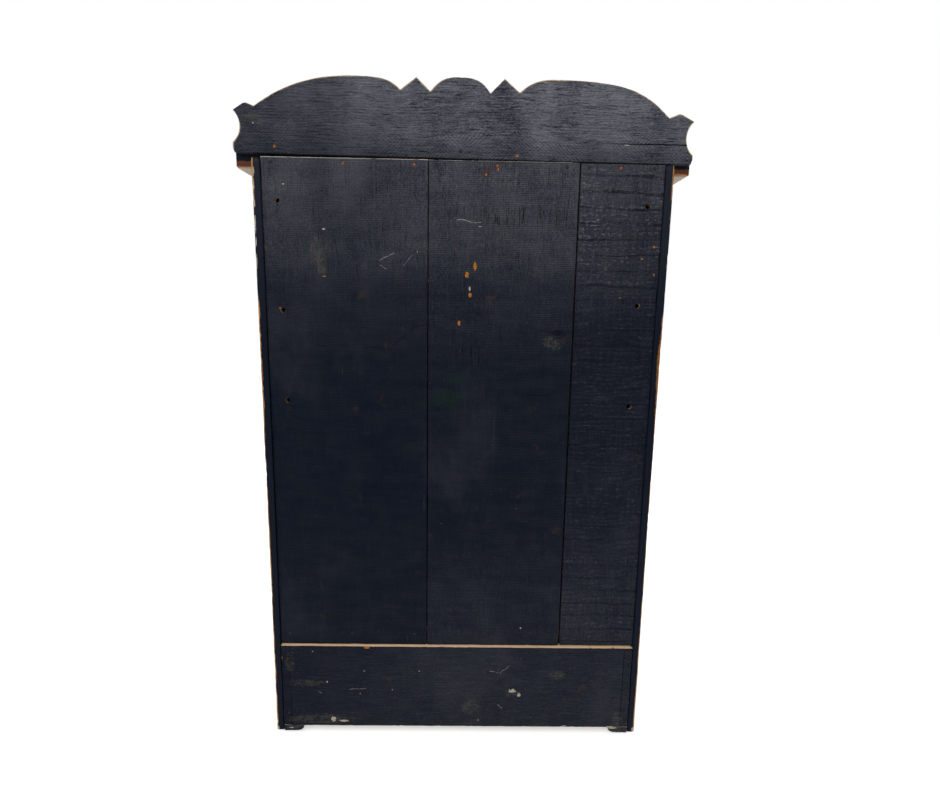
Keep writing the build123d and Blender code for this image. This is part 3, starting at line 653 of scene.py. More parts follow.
def wavy_scratches(parts, place, lines):
    """Thin wavering scratches, each (x, z, length, slope, swing, width) in millimetres."""
    found = []
    for x, z, length, slope, swing, width in lines:
        along = parts["X"] - x * MM
        wave = sine(along * (2 * math.pi / (length * 1.1 * MM)))
        rough = clouds(place, 420.0, 3.0) - 0.5
        path = along * slope + wave * (swing * MM) + rough * ((swing + 0.3) * 1.2 * MM)
        away = abs(parts["Z"] - z * MM - path)
        line = fade(away, width * MM, width * 0.5 * MM)
        line *= fade(abs(along), length * 0.5 * MM, length * 0.44 * MM)
        found.append(line * fade(clouds(place, 700.0, 2.0), 0.36, 0.5))
    return largest(found)


# ---------------------------------------------------------------- finishes
GRAIN_TURN = {"X": (0, math.pi / 2, 0), "Y": (math.pi / 2, 0, 0), "Z": (0, 0, 0)}


def new_material(name):
    """An empty material and its Principled shader."""
    made = bpy.data.materials.new(name)
    made.use_nodes = True
    tree = made.node_tree
    tree.nodes.clear()
    shader = put(tree, "ShaderNodeBsdfPrincipled")
    output = put(tree, "ShaderNodeOutputMaterial")
    tree.links.new(shader.outputs[0], output.inputs["Surface"])
    return made, shader


def lay_bump(shader, layers, distance):
    """Adds up heights, each (value, weight), into one bump."""
    total = functools.reduce(Signal.__add__, [value * weight for value, weight in layers])
    bump = put(shader.id_data, "ShaderNodeBump", {"Height": total, "Distance": distance, "Strength": 1.0})
    feed(shader, {"Normal": Signal(bump.outputs[0])})


def darker(colour, share):
    return [c * share for c in colour]


def bare_colour(vector, grain, pale):
    """Colour of unpainted pine with its grain."""
    tint = paint().pale_wood if pale else paint().raw_wood
    dark = [c * f for c, f in zip(tint, (0.62, 0.50, 0.42))]
    colour = blend_colour(grain["Rings"], tint, dark)
    streak = fade(grain["Fibres"], 0.35, 0.7)
    colour = blend_colour(streak * 0.35, colour, dark)
    dirt = fade(clouds(vector, 38.0, 4.0), 0.45, 0.75)
    return blend_colour(dirt * 0.4, colour, darker(tint, 0.45))


def dust_and_sheen_by_height(height, steps):
    """Dust and painted sheen of light that change smoothly from one (height, amount) step to the next."""
    dust_and_sheen = steps[0][1]
    for (low_z, low_dust), (high_z, high_dust) in zip(steps, steps[1:]):
        dust_and_sheen = fade(height, low_z, high_z, 0.0, high_dust - low_dust) + dust_and_sheen
    return dust_and_sheen


def rubbing(height, wear, worn_top, top_band, calm_below, worn_foot):
    """How hard the arrises have been worn at each height."""
    amount = wear
    if worn_top is not None:
        amount = wear + fade(height, worn_top - 0.6 * top_band, worn_top - 0.2 * top_band)
    if calm_below is not None:
        amount = fade(height, calm_below, calm_below + 2 * MM, wear - 1.2, wear)
    if worn_foot is not None:
        amount += fade(height, worn_foot + 1.6 * MM, worn_foot + 0.6 * MM, 0.0, 0.75)
    return amount


def end_cuts(parts, place, strip):
    """Slanting cuts farther than strip from the middle of a board, and the line where they begin."""
    across = abs(parts["X"])
    cuts = saw_marks(place, 2.9 * MM, -0.9, 0.25)["Ridges"]
    cuts = (cuts - 0.3) * fade(across, strip, strip + 0.6 * MM)
    return cuts, fade(abs(across - strip), 0.45 * MM, 0.2 * MM)


def torn_ridges(place):
    """Torn cells, ridges, gullies and torn fibres of the rough board."""
    cells = clouds(stretched(place, (0.42, 1.0, 1.0)), 760.0, 3.0, 0.62)
    ridges = saw_marks(place, wood().ridge_spacing, 0.035, 0.8)["Ridges"]
    gullies = saw_marks(place, 11 * MM, -0.012, 0.12)["Cuts"]
    return cells, ridges, gullies, fade(cells, 0.52, 0.66) * (ridges * 0.9 + 0.2)


def dusty_and_lit_patches(parts, place):
    """Where the torn fibres of the rough board are lightened, most in its upper half: caught dust and a painted
    highlight on the torn ridges.
    """
    inner = fade(abs(parts["Z"] - 0.408), 0.060, 0.015, 0.5, 4.5) * fade(parts["X"], -0.125, -0.095, 0.35, 1.0)
    patch = clouds(stretched(place, (0.5, 1, 1), move=(5, 0, 2)), 50.0, 2.0)
    return fade(patch, 0.35, 0.7, 0.4, 1.5) * inner


def crossed_cuts(place, height):
    """Coarse saw cuts that slant both ways in a band along the foot of the crest."""
    ways = []
    for sign in (1, -1):
        lines = saw_marks(stretched(place, move=(0.4 * sign, 0, 0)), 2.5 * MM, 0.85 * sign, 0.45)["Ridges"]
        side = clouds(stretched(place, (1, 1, 0.3), move=(sign, 0, 0)), 34.0, 2.0)
        ways.append(lines * fade(side, 0.42, 0.56))
    return largest(ways) * fade(height, 0.484, 0.466)


def old_paint(name, along="Z", chalk_and_sheen=((0.30, 0.0), (0.455, 0.3)), saw=0.35, saw_spacing=1.15 * MM, wear=-0.05,
              reach=0.8 * MM, chips=0.1, worn_top=None, top_band=0.45 * MM, top_breaks=0.44,
              top_colour=(0.62, 0.55, 0.47), worn_foot=None, calm_below=None, bare_before=None, strip=None,
              rough_saw=False, hatched=False, split=None, blotches=1.7, weather=0.2, weather_scale=1.6,
              streaky=0.6, speckle=3.2, darker_side=0.85, chalk_and_sheen_gain=1.0, smears_at=(), stains=(), ticks_at=(),
              cuts_at=(), chips_at=(), pale_at=(), scratches_at=(), bores_at=()):
    """Thin old near-black paint over sawn pine, with grain, saw marks, dust, painted sheen, scratches and worn
    arrises.

    chalk_and_sheen holds (height, amount) steps of dust and of painted sheen of light. The arrises are rubbed at
    worn_top and worn_foot and whole below calm_below; a bright top_colour makes the pale top line a painted highlight
    too.
    The wood is unpainted in front of bare_before in Y. The places of marks are in millimetres.
    """
    made, shader = new_material(name)
    place = coordinates(shader)
    parts = parts_of(place)
    height = parts["Z"]
    turned = stretched(place, turn=GRAIN_TURN[along])
    grain = use("Pine grain", turned, {"Ring width": 7 * MM})
    weathered = use("Weathering", turned, {"Scale": weather_scale})
    mottle = clouds(stretched(turned, (1.0, 1.0, 0.45)), 1500.0, 4.0, 0.72)
    fine = saw_marks(place, saw_spacing, 0.0, 0.5)["Ridges"]
    worn = edge_wear(place, reach, rubbing(height, wear, worn_top, top_band, calm_below, worn_foot), chips)
    scuffs = use("Scuffs", place, {"Scratches": 0.6})
    raw = bare_colour(place, grain, True)
    heights = [(grain["Fibres"], 0.3), (mottle, 0.9), (fine, saw * 0.45), (worn["Bare"], -0.35),
               (weathered["Checks"], -weather * 1.6)]

    # What holds more or less dust and painted sheen than the even film
    texture = (grain["Fibres"] - 0.5) * (1.5 * streaky)
    texture += (fine - 0.45) * (saw * 0.8)
    texture += (clouds(stretched(place, (1, 1, 0.6)), 21.0, 5.0, 0.6, 0.6) - 0.5) * blotches
    texture += (mottle - 0.5) * speckle
    texture += (scuffs["Smears"] - 0.35) * 0.35
    texture += (weathered["Streaks"] - weathered["Checks"]) * (weather * 1.5)
    if strip is not None:
        cuts, edge_line = end_cuts(parts, place, strip)
        texture += cuts * 1.6 - edge_line * 1.2
        heights += [(cuts, 1.5), (edge_line, -1.5)]
    if rough_saw:
        cells, ridges, gullies, torn = torn_ridges(place)
        # The lightened torn fibres are partly a painted highlight on the rough board's relief.
        texture += torn * dusty_and_lit_patches(parts, place) - gullies * 0.7
        heights += [(cells, 2.2), (ridges, 0.7), (gullies, -1.4)]
    if hatched:
        crossed = crossed_cuts(place, height)
        texture += (crossed - 0.3) * 0.64
        heights.append((crossed, 1.12))

    # The film of dust over the paint, with a painted sheen of light that changes with height
    # Partly dust and partly a painted sheen of light: the grey follows the height steps and is lower at the +X end by
    # darker_side.
    dust_and_sheen = dust_and_sheen_by_height(height, chalk_and_sheen) * fade(parts["X"], 0.13, -0.02, darker_side, 1.0)
    dust_and_sheen *= larger(texture + 1.0, 0.02)
    dust_and_sheen += fade(mottle, 0.56, 0.76, 0.0, 0.16)
    patchy = clouds(stretched(place, (1, 1, 0.55), move=(2, 0, 6)), 17.0, 5.0, 0.66, 0.3)
    dust_and_sheen += fade(patchy, 0.46, 0.68, 0.0, 0.065)
    dust_and_sheen += fine * (saw * 0.12)
    dust_and_sheen += fade(grain["Fibres"], 0.52, 0.74, 0.0, 0.16 * streaky)
    if rough_saw:
        # A painted highlight on the torn fibres and ridges of the rough board.
        dust_and_sheen += torn * 0.2 + ridges * 0.045
    colour = blend_colour(maths("MINIMUM", dust_and_sheen, 1.0, clamp=True), paint().paint,
                          [c * chalk_and_sheen_gain for c in paint().chalk_and_sheen])
    tinge = fade(clouds(place, 60.0, 5.0, 0.7), 0.60, 0.74, 0.0, 0.13)
    colour = blend_colour(tinge, colour, darker(paint().raw_wood, 0.35))

    # Smears, stains and everyday wear
    if smears_at:
        smear = marks(place, smears_at) * fade(grain["Fibres"], 0.35, 0.65, 0.2, 1.0)
        smear *= fade(clouds(place, 260.0, 4.0, 0.7), 0.38, 0.58, 0.15, 1.0)
        colour = blend_colour(smear * 0.62, colour, SMEAR)
    for tint, strength, places in stains:
        broken = fade(clouds(stretched(place, (0.45, 1.0, 1.0)), 520.0, 4.0, 0.7), 0.40, 0.60, 0.35, 1.0)
        colour = blend_colour(marks(place, places) * strength * broken, colour, tint)
    colour = blend_colour(scuffs["Lines"] * 0.22, colour, FINE_SCRATCH)
    colour = blend_colour(worn["Bare"], colour, raw)
    speck = fade(clouds(place, 520.0, 2.0, 0.5, 0.0), 0.765, 0.80)
    speck *= fade(clouds(place, 45.0, 2.0), 0.48, 0.6, 0.15, 0.7)
    colour = blend_colour(speck, colour, PALE_SPECK)

    # Cuts, chips and scratches that lie at known places
    if ticks_at:
        tick = marks(place, ticks_at) * fade(grain["Fibres"], 0.42, 0.36)
        colour = blend_colour(tick * 0.75, colour, DEEP_CUT)
        heights.append((tick, -0.8))
    if cuts_at:
        cut = wavy_scratches(parts, place, cuts_at)
        colour = blend_colour(cut * 0.9, colour, DEEP_CUT)
        heights.append((cut, -1.5))
    if worn_top is not None:
        # The pale line along the top arris: rubbed wood, and where top_colour is bright, as on the apron, a painted
        # highlight on that edge.
        ends = clouds(stretched(place, move=(7, 0, 0)), 95.0, 3.0, 0.6)
        rubbed_and_lit_line = fade(height, worn_top - top_band, worn_top - top_band * 0.6)
        rubbed_and_lit_line *= fade(ends, top_breaks, top_breaks + 0.06)
        colour = blend_colour(rubbed_and_lit_line * 0.9, colour, top_colour)
    bare = worn["Bare"]
    if chips_at:
        chip = marks(place, chips_at)
        bare = larger(bare, chip)
        fresh = blend_colour(fade(clouds(place, 900.0, 2.0), 0.4, 0.62), FRESH_WOOD, FRESH_WOOD_DARK)
        colour = blend_colour(chip, colour, fresh)
        heights.append((chip, -0.5))
    if pale_at:
        colour = blend_colour(marks(place, pale_at) * 0.85, colour, PALE_MARK)
    if scratches_at:
        colour = blend_colour(wavy_scratches(parts, place, scratches_at) * 0.7, colour, PALE_SCRATCH)
    if bare_before is not None:
        colour = blend_colour(fade(parts["Y"], bare_before, bare_before - 0.3 * MM), colour, raw)
    if bores_at:
        ring = marks(place, bores_at) * fade(parts["Y"], PLANK_BACK_Y - 0.2 * MM, PLANK_BACK_Y - 0.5 * MM)
        colour = blend_colour(ring, colour, raw)
    if split:
        colour = blend_colour(split(place), colour, DARK_SPLIT)
    roughness = 0.50 + scuffs["Smears"] * 0.16 + bare * 0.28 + grain["Fibres"] * 0.12
    feed(shader, {"Base Color": colour, "Roughness": roughness, "Specular IOR Level": 0.045})
    lay_bump(shader, heights, 0.45 * MM)
    return made


def side_edge_wear(parts, behind, wear):
    """Wear of the side boards, with its own places where the paint of the back comes round their edges."""
    breadth = fade(abs(parts["Z"] - 0.312), 0.040, 0.030, 1.3 * MM, 2.8 * MM)
    outer = fade((HALF_WIDTH - abs(parts["X"])) / breadth, 1.25, 0.8)
    upper = fade(parts["Z"], 0.424, 0.436)
    middle = fade(abs(parts["Z"] - 0.300), 0.060, 0.045)
    lower = fade(parts["Z"], 0.26, 0.20, 0.0, 0.7) + 0.15
    on_paint = outer * (largest((upper, middle, lower)) * 0.75 + 1.1) - 1.0
    return blend_value(behind, wear, on_paint)


def stained_pine(name, along="Z", wear=0.5, reach=0.7 * MM, dark=0.35, painted_behind=None, painted_and_shaded_above=None,
                 pale_below=None, bare_at=(), pale_at=()):
    """Reddish-brown varnished pine.

    It is painted past painted_behind in Y and raw below pale_below. Above painted_and_shaded_above, (y, z), it is
    black
    darker than the paint: partly paint and partly a painted shadow of the crest.
    """
    made, shader = new_material(name)
    place = coordinates(shader)
    parts = parts_of(place)
    grain = use("Pine grain", stretched(place, turn=GRAIN_TURN[along]), {"Ring width": 6 * MM})
    ragged = (clouds(place, 300.0, 4.0) - 0.5) * (1.6 * MM)
    amount, coat, specular = wear, 0.12, 0.16
    if painted_behind is not None:
        behind = fade(parts["Y"] + ragged, painted_behind - 0.4 * MM, painted_behind + 0.1 * MM)
        amount = side_edge_wear(parts, behind, wear)
        coat, specular = (1.0 - behind) * 0.03, 0.07
    worn = edge_wear(place, reach, amount, 0.1)
    scuffs = use("Scuffs", place, {"Scratches": 0.6})
    stain, deep = paint().stain, paint().stain_dark
    colour = blend_colour(grain["Rings"] * 0.55, stain, deep)
    colour = blend_colour(fade(grain["Fibres"], 0.4, 0.75, 0.0, 0.5), colour, deep)
    colour = blend_colour(scuffs["Smears"] * dark, colour, deep)
    rubbed = [c * 0.55 + d * 0.45 for c, d in zip(paint().raw_wood, stain)]
    colour = blend_colour(worn["Thin"] * 0.45, colour, rubbed)
    colour = blend_colour(worn["Bare"], colour, bare_colour(place, grain, False))
    colour = blend_colour(scuffs["Lines"] * 0.35, colour, RUBBED_STAIN)
    if pale_below is not None:
        under = fade(parts["Z"] + ragged, pale_below + 0.9 * MM, pale_below + 0.2 * MM)
        colour = blend_colour(under, colour, bare_colour(place, grain, True))
    if painted_and_shaded_above is not None:
        # Black darker than the paint along the back edge above edge_z: partly paint and partly a painted shadow cast
        # by the crest.
        edge_y, edge_z = painted_and_shaded_above
        band = fade(parts["Z"] + ragged, edge_z - 0.3 * MM, edge_z + 0.3 * MM)
        band *= fade(parts["Y"], edge_y - 1.2 * MM, edge_y - 0.6 * MM)
        colour = blend_colour(band, colour, darker(paint().paint, 0.6))
        coat = (1.0 - band) * 0.12
    if painted_behind is not None:
        # Lighter towards the top: dust, and the same painted sheen of light as on the back boards.
        dust_and_sheen = fade(parts["Z"], 0.30, 0.455, 0.0, 0.10) * (grain["Fibres"] + 0.5)
        black = blend_colour(dust_and_sheen, paint().paint, paint().chalk_and_sheen)
        colour = blend_colour(behind * (1.0 - worn["Bare"]), colour, black)
    if bare_at:
        streaked = marks(place, bare_at) * fade(grain["Fibres"], 0.62, 0.5, 0.25, 1.0)
        colour = blend_colour(streaked, colour, BARE_STRIP)
    if pale_at:
        colour = blend_colour(marks(place, pale_at) * 0.8, colour, PALE_MARK)
    roughness = 0.38 + scuffs["Smears"] * 0.2 + worn["Bare"] * 0.3
    feed(shader, {"Base Color": colour, "Roughness": roughness, "Specular IOR Level": specular,
                  "Coat Weight": coat, "Coat Roughness": 0.28})
    lay_bump(shader, [(grain["Fibres"], 0.25), (grain["Rings"], 0.12), (worn["Bare"], -0.3)], 0.3 * MM)
    return made


def bare_pine(name, along):
    """Unfinished sawn pine, darkened by age, for the inner boards."""
    made, shader = new_material(name)
    place = coordinates(shader)
    turned = stretched(place, turn=GRAIN_TURN[along])
    grain = use("Pine grain", turned, {"Ring width": 7 * MM})
    fine = saw_marks(turned, 1.6 * MM, 0.05, 0.6)["Ridges"]
    colour = blend_colour(fine * 0.12, bare_colour(place, grain, True), darker(paint().raw_wood, 0.6))
    feed(shader, {"Base Color": colour, "Roughness": 0.66 + grain["Fibres"] * 0.2, "Specular IOR Level": 0.3})
    lay_bump(shader, [(grain["Fibres"], 0.35), (fine, 0.4)], 0.3 * MM)
    return made


def tarnished_brass(name):
    made, shader = new_material(name)
    place = coordinates(shader)
    tone = clouds(place, 240.0, 5.0, 0.6)
    scuffs = use("Scuffs", place, {"Scratches": 0.8})
    dull = [c * f for c, f in zip(paint().brass, (0.36, 0.30, 0.30))]
    colour = blend_colour(fade(tone, 0.35, 0.68), paint().brass, dull)
    colour = blend_colour(scuffs["Lines"] * 0.5, colour, paint().brass)
    feed(shader, {"Base Color": colour, "Metallic": 0.9, "Roughness": fade(tone, 0.3, 0.7, 0.28, 0.58)})
    lay_bump(shader, [(tone, 0.3), (scuffs["Lines"], -0.4)], 0.1 * MM)
    return made


def rusted_iron(name, rusty_at=None):
    """Rusted nail heads, or ones under old paint with rust showing only at the places given in millimetres."""
    made, shader = new_material(name)
    place = coordinates(shader)
    tone = clouds(place, 1300.0, 4.0, 0.6)
    colour = blend_colour(fade(tone, 0.35, 0.7), paint().rust, darker(paint().rust, 0.35))
    if rusty_at is not None:
        showing = marks(place, [(x, PLANK_BACK_Y / MM, z, 2.0, 2.0, 0.2) for x, z in rusty_at])
        flake = fade(clouds(place, 800.0, 2.0), 0.3, 0.42)
        painted = blend_colour(fade(tone, 0.4, 0.7, 0.05, 0.3), paint().paint, paint().chalk_and_sheen)
        colour = blend_colour(showing * flake, painted, colour)
    feed(shader, {"Base Color": colour, "Roughness": fade(tone, 0.3, 0.7, 0.6, 0.9), "Specular IOR Level": 0.2})
    lay_bump(shader, [(tone, 0.6)], 0.2 * MM)
    return made


def dark_knob(name):
    made, shader = new_material(name)
    place = coordinates(shader)
    grain = use("Pine grain", stretched(place, turn=GRAIN_TURN["Y"]), {"Ring width": 3 * MM})
    deep = paint().stain_dark
    colour = blend_colour(grain["Rings"], deep, darker(deep, 0.35))
    rubbed = fade(clouds(place, 330.0, 3.0), 0.55, 0.75)
    colour = blend_colour(rubbed * 0.5, colour, paint().stain)
    feed(shader, {"Base Color": colour, "Roughness": fade(grain["Fibres"], 0.3, 0.8, 0.25, 0.45),
                  "Coat Weight": 0.4})
    lay_bump(shader, [(grain["Fibres"], 0.2)], 0.15 * MM)
    return made


# ---------------------------------------------------------------- small turned and round pieces
def lathe(mesh_data, profile, origin, axis, segments):
    """Adds a turned piece: profile is (distance along axis, radius)."""
    across = Vector(axis).orthogonal().normalized()
    turn = Matrix.Rotation(2 * math.pi / segments, 3, Vector(axis))
    rings = []
    for along, radius in profile:
        spoke = across * max(radius, 1e-6)
        ring = []
        for _ in range(segments):
            ring.append(mesh_data.verts.new(Vector(origin) + Vector(axis) * along + spoke))
            spoke = turn @ spoke
        rings.append(ring)
    for a, b in zip(rings, rings[1:]):
        for k in range(segments):
            mesh_data.faces.new((a[k], a[(k + 1) % segments], b[(k + 1) % segments], b[k]))
    mesh_data.faces.new(rings[0])
    mesh_data.faces.new(rings[-1])


def finish_turned(data, name, body, node, material):
    """Makes one object of the turned pieces that stand for a CAD node."""
    mesh = bpy.data.meshes.new(name)
    data.to_mesh(mesh)
    data.free()
    dress(finish_mesh(mesh, name, body, [node]), material)


def solids_of(node):
    """(lowest corner, highest corner) of every separate solid in a CAD node."""
    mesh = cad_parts[node].data
    source = bmesh.new()
    source.from_mesh(mesh)
    bmesh.ops.remove_doubles(source, verts=source.verts, dist=1e-6)
    source.verts.ensure_lookup_table()
    seen, found = set(), []
    for first in source.verts:
        if first.index in seen:
            continue
        stack, own = [first], []
        seen.add(first.index)
        while stack:
            here = stack.pop()
            own.append(here.co.copy())
            for edge in here.link_edges:
                other = edge.other_vert(here)
                if other.index not in seen:
                    seen.add(other.index)
                    stack.append(other)
        found.append((Vector(map(min, zip(*own))), Vector(map(max, zip(*own)))))
    source.free()
    return found


def nail_group(node, axis, sign, material):
    """Hand-driven nails in place of a CAD group. The heads are slightly domed and lean a little."""
    rng = np.random.default_rng(sum(map(ord, node)))
    data = bmesh.new()
    direction = Vector([sign if k == axis else 0 for k in range(3)])
    for low, high in solids_of(node):
        centre = (low + high) / 2
        face = high[axis] if sign > 0 else low[axis]
        length = high[axis] - low[axis]
        radius = max(high[k] - low[k] for k in range(3) if k != axis) / 2
        head = centre.copy()
        head[axis] = face
        lean = Vector([rng.uniform(-0.02, 0.02) if k != axis else 0 for k in range(3)])
        profile = [(-length, 0.12 * MM), (-length + 1.6 * MM, 0.5 * MM), (-0.42 * MM, 0.5 * MM),
                   (-0.38 * MM, radius * 0.97), (-0.1 * MM, radius), (0.04 * MM, radius * 0.86),
                   (0.1 * MM, radius * 0.5), (0.12 * MM, radius * 0.12)]
        lathe(data, profile, head, (direction + lean).normalized(), 20)
    finish_turned(data, "old_" + node, "case", node, material)


def turned_knobs(node, body, material):
    """Turned knobs, each with a foot bead, a neck and a mushroom top."""
    data = bmesh.new()
    for low, high in solids_of(node):
        centre = (low + high) / 2
        radius = (high[0] - low[0]) / 2
        reach = FRONT_Y - low[1]
        stem = high[1] - FRONT_Y
        profile = [(-stem, radius * 0.34), (0.0, radius * 0.35), (0.0, radius * 0.74),
                   (0.35 * MM, radius * 0.79), (0.8 * MM, radius * 0.76), (1.2 * MM, radius * 0.58),
                   (1.7 * MM, radius * 0.47), (reach * 0.36, radius * 0.44), (reach * 0.42, radius * 0.52),
                   (reach * 0.47, radius * 0.74), (reach * 0.53, radius * 0.91), (reach * 0.61, radius * 0.99),
                   (reach * 0.69, radius), (reach * 0.78, radius * 0.94), (reach * 0.86, radius * 0.8),
                   (reach * 0.93, radius * 0.56), (reach * 0.98, radius * 0.28), (reach, radius * 0.06)]
        lathe(data, profile, (centre.x, FRONT_Y, centre.z), (0, -1, 0), 40)
    finish_turned(data, "turned_" + node, body, node, material)


def keep_node(node, material, bevel=0.25 * MM):
    """A CAD node that stays as it is, with softened edges and its own finish."""
    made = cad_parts[node]
    dress(made, material)
    softened = made.modifiers.new("Softened edges", "BEVEL")
    softened.width = bevel
    softened.segments = 2
    softened.limit_method = "ANGLE"
    softened.angle_limit = math.radians(50)
    made.modifiers.new("Shading", "WEIGHTED_NORMAL")
    return made


# ---------------------------------------------------------------- pieces
SPLIT_Z = 0.4688  # height of the long split in the crest
SPLIT_END = -0.088  # where the split dies out


def split_line(points):
    """How close points (x, z) are to the split at the end of the crest, 1 on it and 0 away."""
    course = SPLIT_Z + 0.5 * MM * wobble(np.column_stack([points[:, 0], points[:, 0] * 0]), 14 * MM, 5)
    strength = np.clip((SPLIT_END - points[:, 0]) / 0.035, 0, 1)
    return np.clip(1 - np.abs(points[:, 1] - course) / (0.7 * MM), 0, 1) * strength


def crest_face(points, edge, side):
    """Wavy sawn surface of the crest with coarse cross cuts along its foot."""
    height = 0.16 * MM * wobble(points * (0.25, 1.0), 5 * MM, 3) + 0.1 * MM * wobble(points, 2.2 * MM, 8)
    slope = np.where(wobble(points * (1, 0.2), 30 * MM, 2) > 0, 1.0, -1.0)
    cuts = np.sin((points[:, 1] + slope * 0.85 * points[:, 0]) * 2 * math.pi / (2.9 * MM))
    height += 0.09 * MM * cuts * np.clip((0.474 - points[:, 1]) / 0.012, 0, 1)
    if side > 0:
        height -= 0.75 * MM * split_line(points)
    return height * np.clip(edge / MM, 0, 1)


def plank_face(seed, cup):
    def face(points, edge, side):
        height = 0.12 * MM * wobble(points * (1.0, 0.22), 6 * MM, seed) + 0.05 * MM * wobble(points, 3 * MM,
                                                                                             seed + 1)
        middle = (points[:, 0].min() + points[:, 0].max()) / 2
        half = np.ptp(points[:, 0]) / 2
        height += side * cup * (1 - ((points[:, 0] - middle) / half) ** 2)
        return height * np.clip(edge / MM, 0, 1)
    return face


def apron_face(points, edge, side):
    """Smooth sawn face with coarse slanting cuts in a strip at each end."""
    height = plank_face(31, 0.1 * MM)(points, edge, side)
    end = np.abs(points[:, 0]) - (np.abs(points[:, 0]).max() - 6.5 * MM)
    cuts = np.sin((points[:, 1] - 0.9 * points[:, 0] * np.sign(points[:, 0])) * 2 * math.pi / (3.6 * MM))
    strip = np.clip(end / (0.6 * MM), 0, 1)
    height += strip * (0.14 * MM * cuts - 0.12 * MM) + 0.12 * MM * np.clip(wobble(points, 2 * MM, 7), 0,
                                                                           1) * strip
    return height * np.clip(edge / (0.8 * MM), 0, 1)


def rough_face(points, edge, side):
    """Coarse ridges left by a large saw."""
    settings = wood()
    drift = 1.6 * MM * wobble(points * (0.15, 1.0), 16 * MM, 4)
    turns = (points[:, 1] + 0.035 * points[:, 0] + drift) / settings.ridge_spacing
    ridges = np.sin(turns * 2 * math.pi)
    strength = 0.55 + 0.45 * wobble(points * (0.5, 1.0), 22 * MM, 6)
    torn = np.clip(wobble(points * (0.5, 1.6), 2.6 * MM, 9), 0, 1)
    height = settings.ridge_depth * (ridges * strength + 0.7 * torn)
    return height * np.clip(edge / (0.8 * MM), 0, 1)


def bowed(axis, amount, low, high):
    """A warp that bows points along axis by amount between two heights."""
    def warp(places):
        share = np.clip((places[:, 2] - low) / (high - low), 0, 1)
        moved = np.zeros_like(places)
        moved[:, axis] = amount * np.sin(share * math.pi) + 0.12 * MM * wobble(places[:, 2:3], 25 * MM, axis)
        return moved
    return warp


class WARDROBE_OT_crest(bpy.types.Operator):
    """Crest board with its scalloped top, saw marks and split"""
    bl_idname = "wardrobe.crest"
    bl_label = "Crest"

    def execute(self, context):
        def dark_split(place):
            parts = parts_of(place)
            drift = (clouds(stretched(place, (1, 0, 0)), 60.0, 2.0) - 0.5) * (2 * MM)
            away = abs(parts["Z"] + drift - SPLIT_Z)
            fades = fade(parts["X"], SPLIT_END, SPLIT_END - 0.03)
            return fade(away, 0.5 * MM, 0.25 * MM) * fades

        # The crest is greyer and lighter than the boards below: dust, and a painted sheen of the bright light above on
        # its paint.
        material = old_paint("Crest paint", "X",
                             chalk_and_sheen=((0.455, 0.27), (0.478, 0.6), (0.505, 0.76)),
                             chalk_and_sheen_gain=1.55, speckle=2.2, saw=0.3, saw_spacing=1.9 * MM, wear=0.9,
                             reach=1.0 * MM, chips=0.15, hatched=True, weather=0.42, weather_scale=2.8,
                             darker_side=0.33, calm_below=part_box("crest_board")[0][2] + 3.5 * MM, blotches=1.5,
                             split=dark_split,
                             pale_at=[(-115.5, 84, 468.0, 1.9, 0.35, 0.3), (148, 84, 478, 0.5, 0.45, 1.0)],
                             smears_at=[(148, 84, 481, 8, 3, 1.8), (144, 84, 479, 5, 2, 1.8),
                                        (29, 84, 459, 3, 1.6, 1.0)],
                             chips_at=[(-37.5, 84, 459.5, 1.3, 0.9, 0.8)])
        node_board("crest_board", 1, material, grid=(1.8 * MM, 0.9 * MM), arris=0.55 * MM, shape=crest_face)
        return {"FINISHED"}


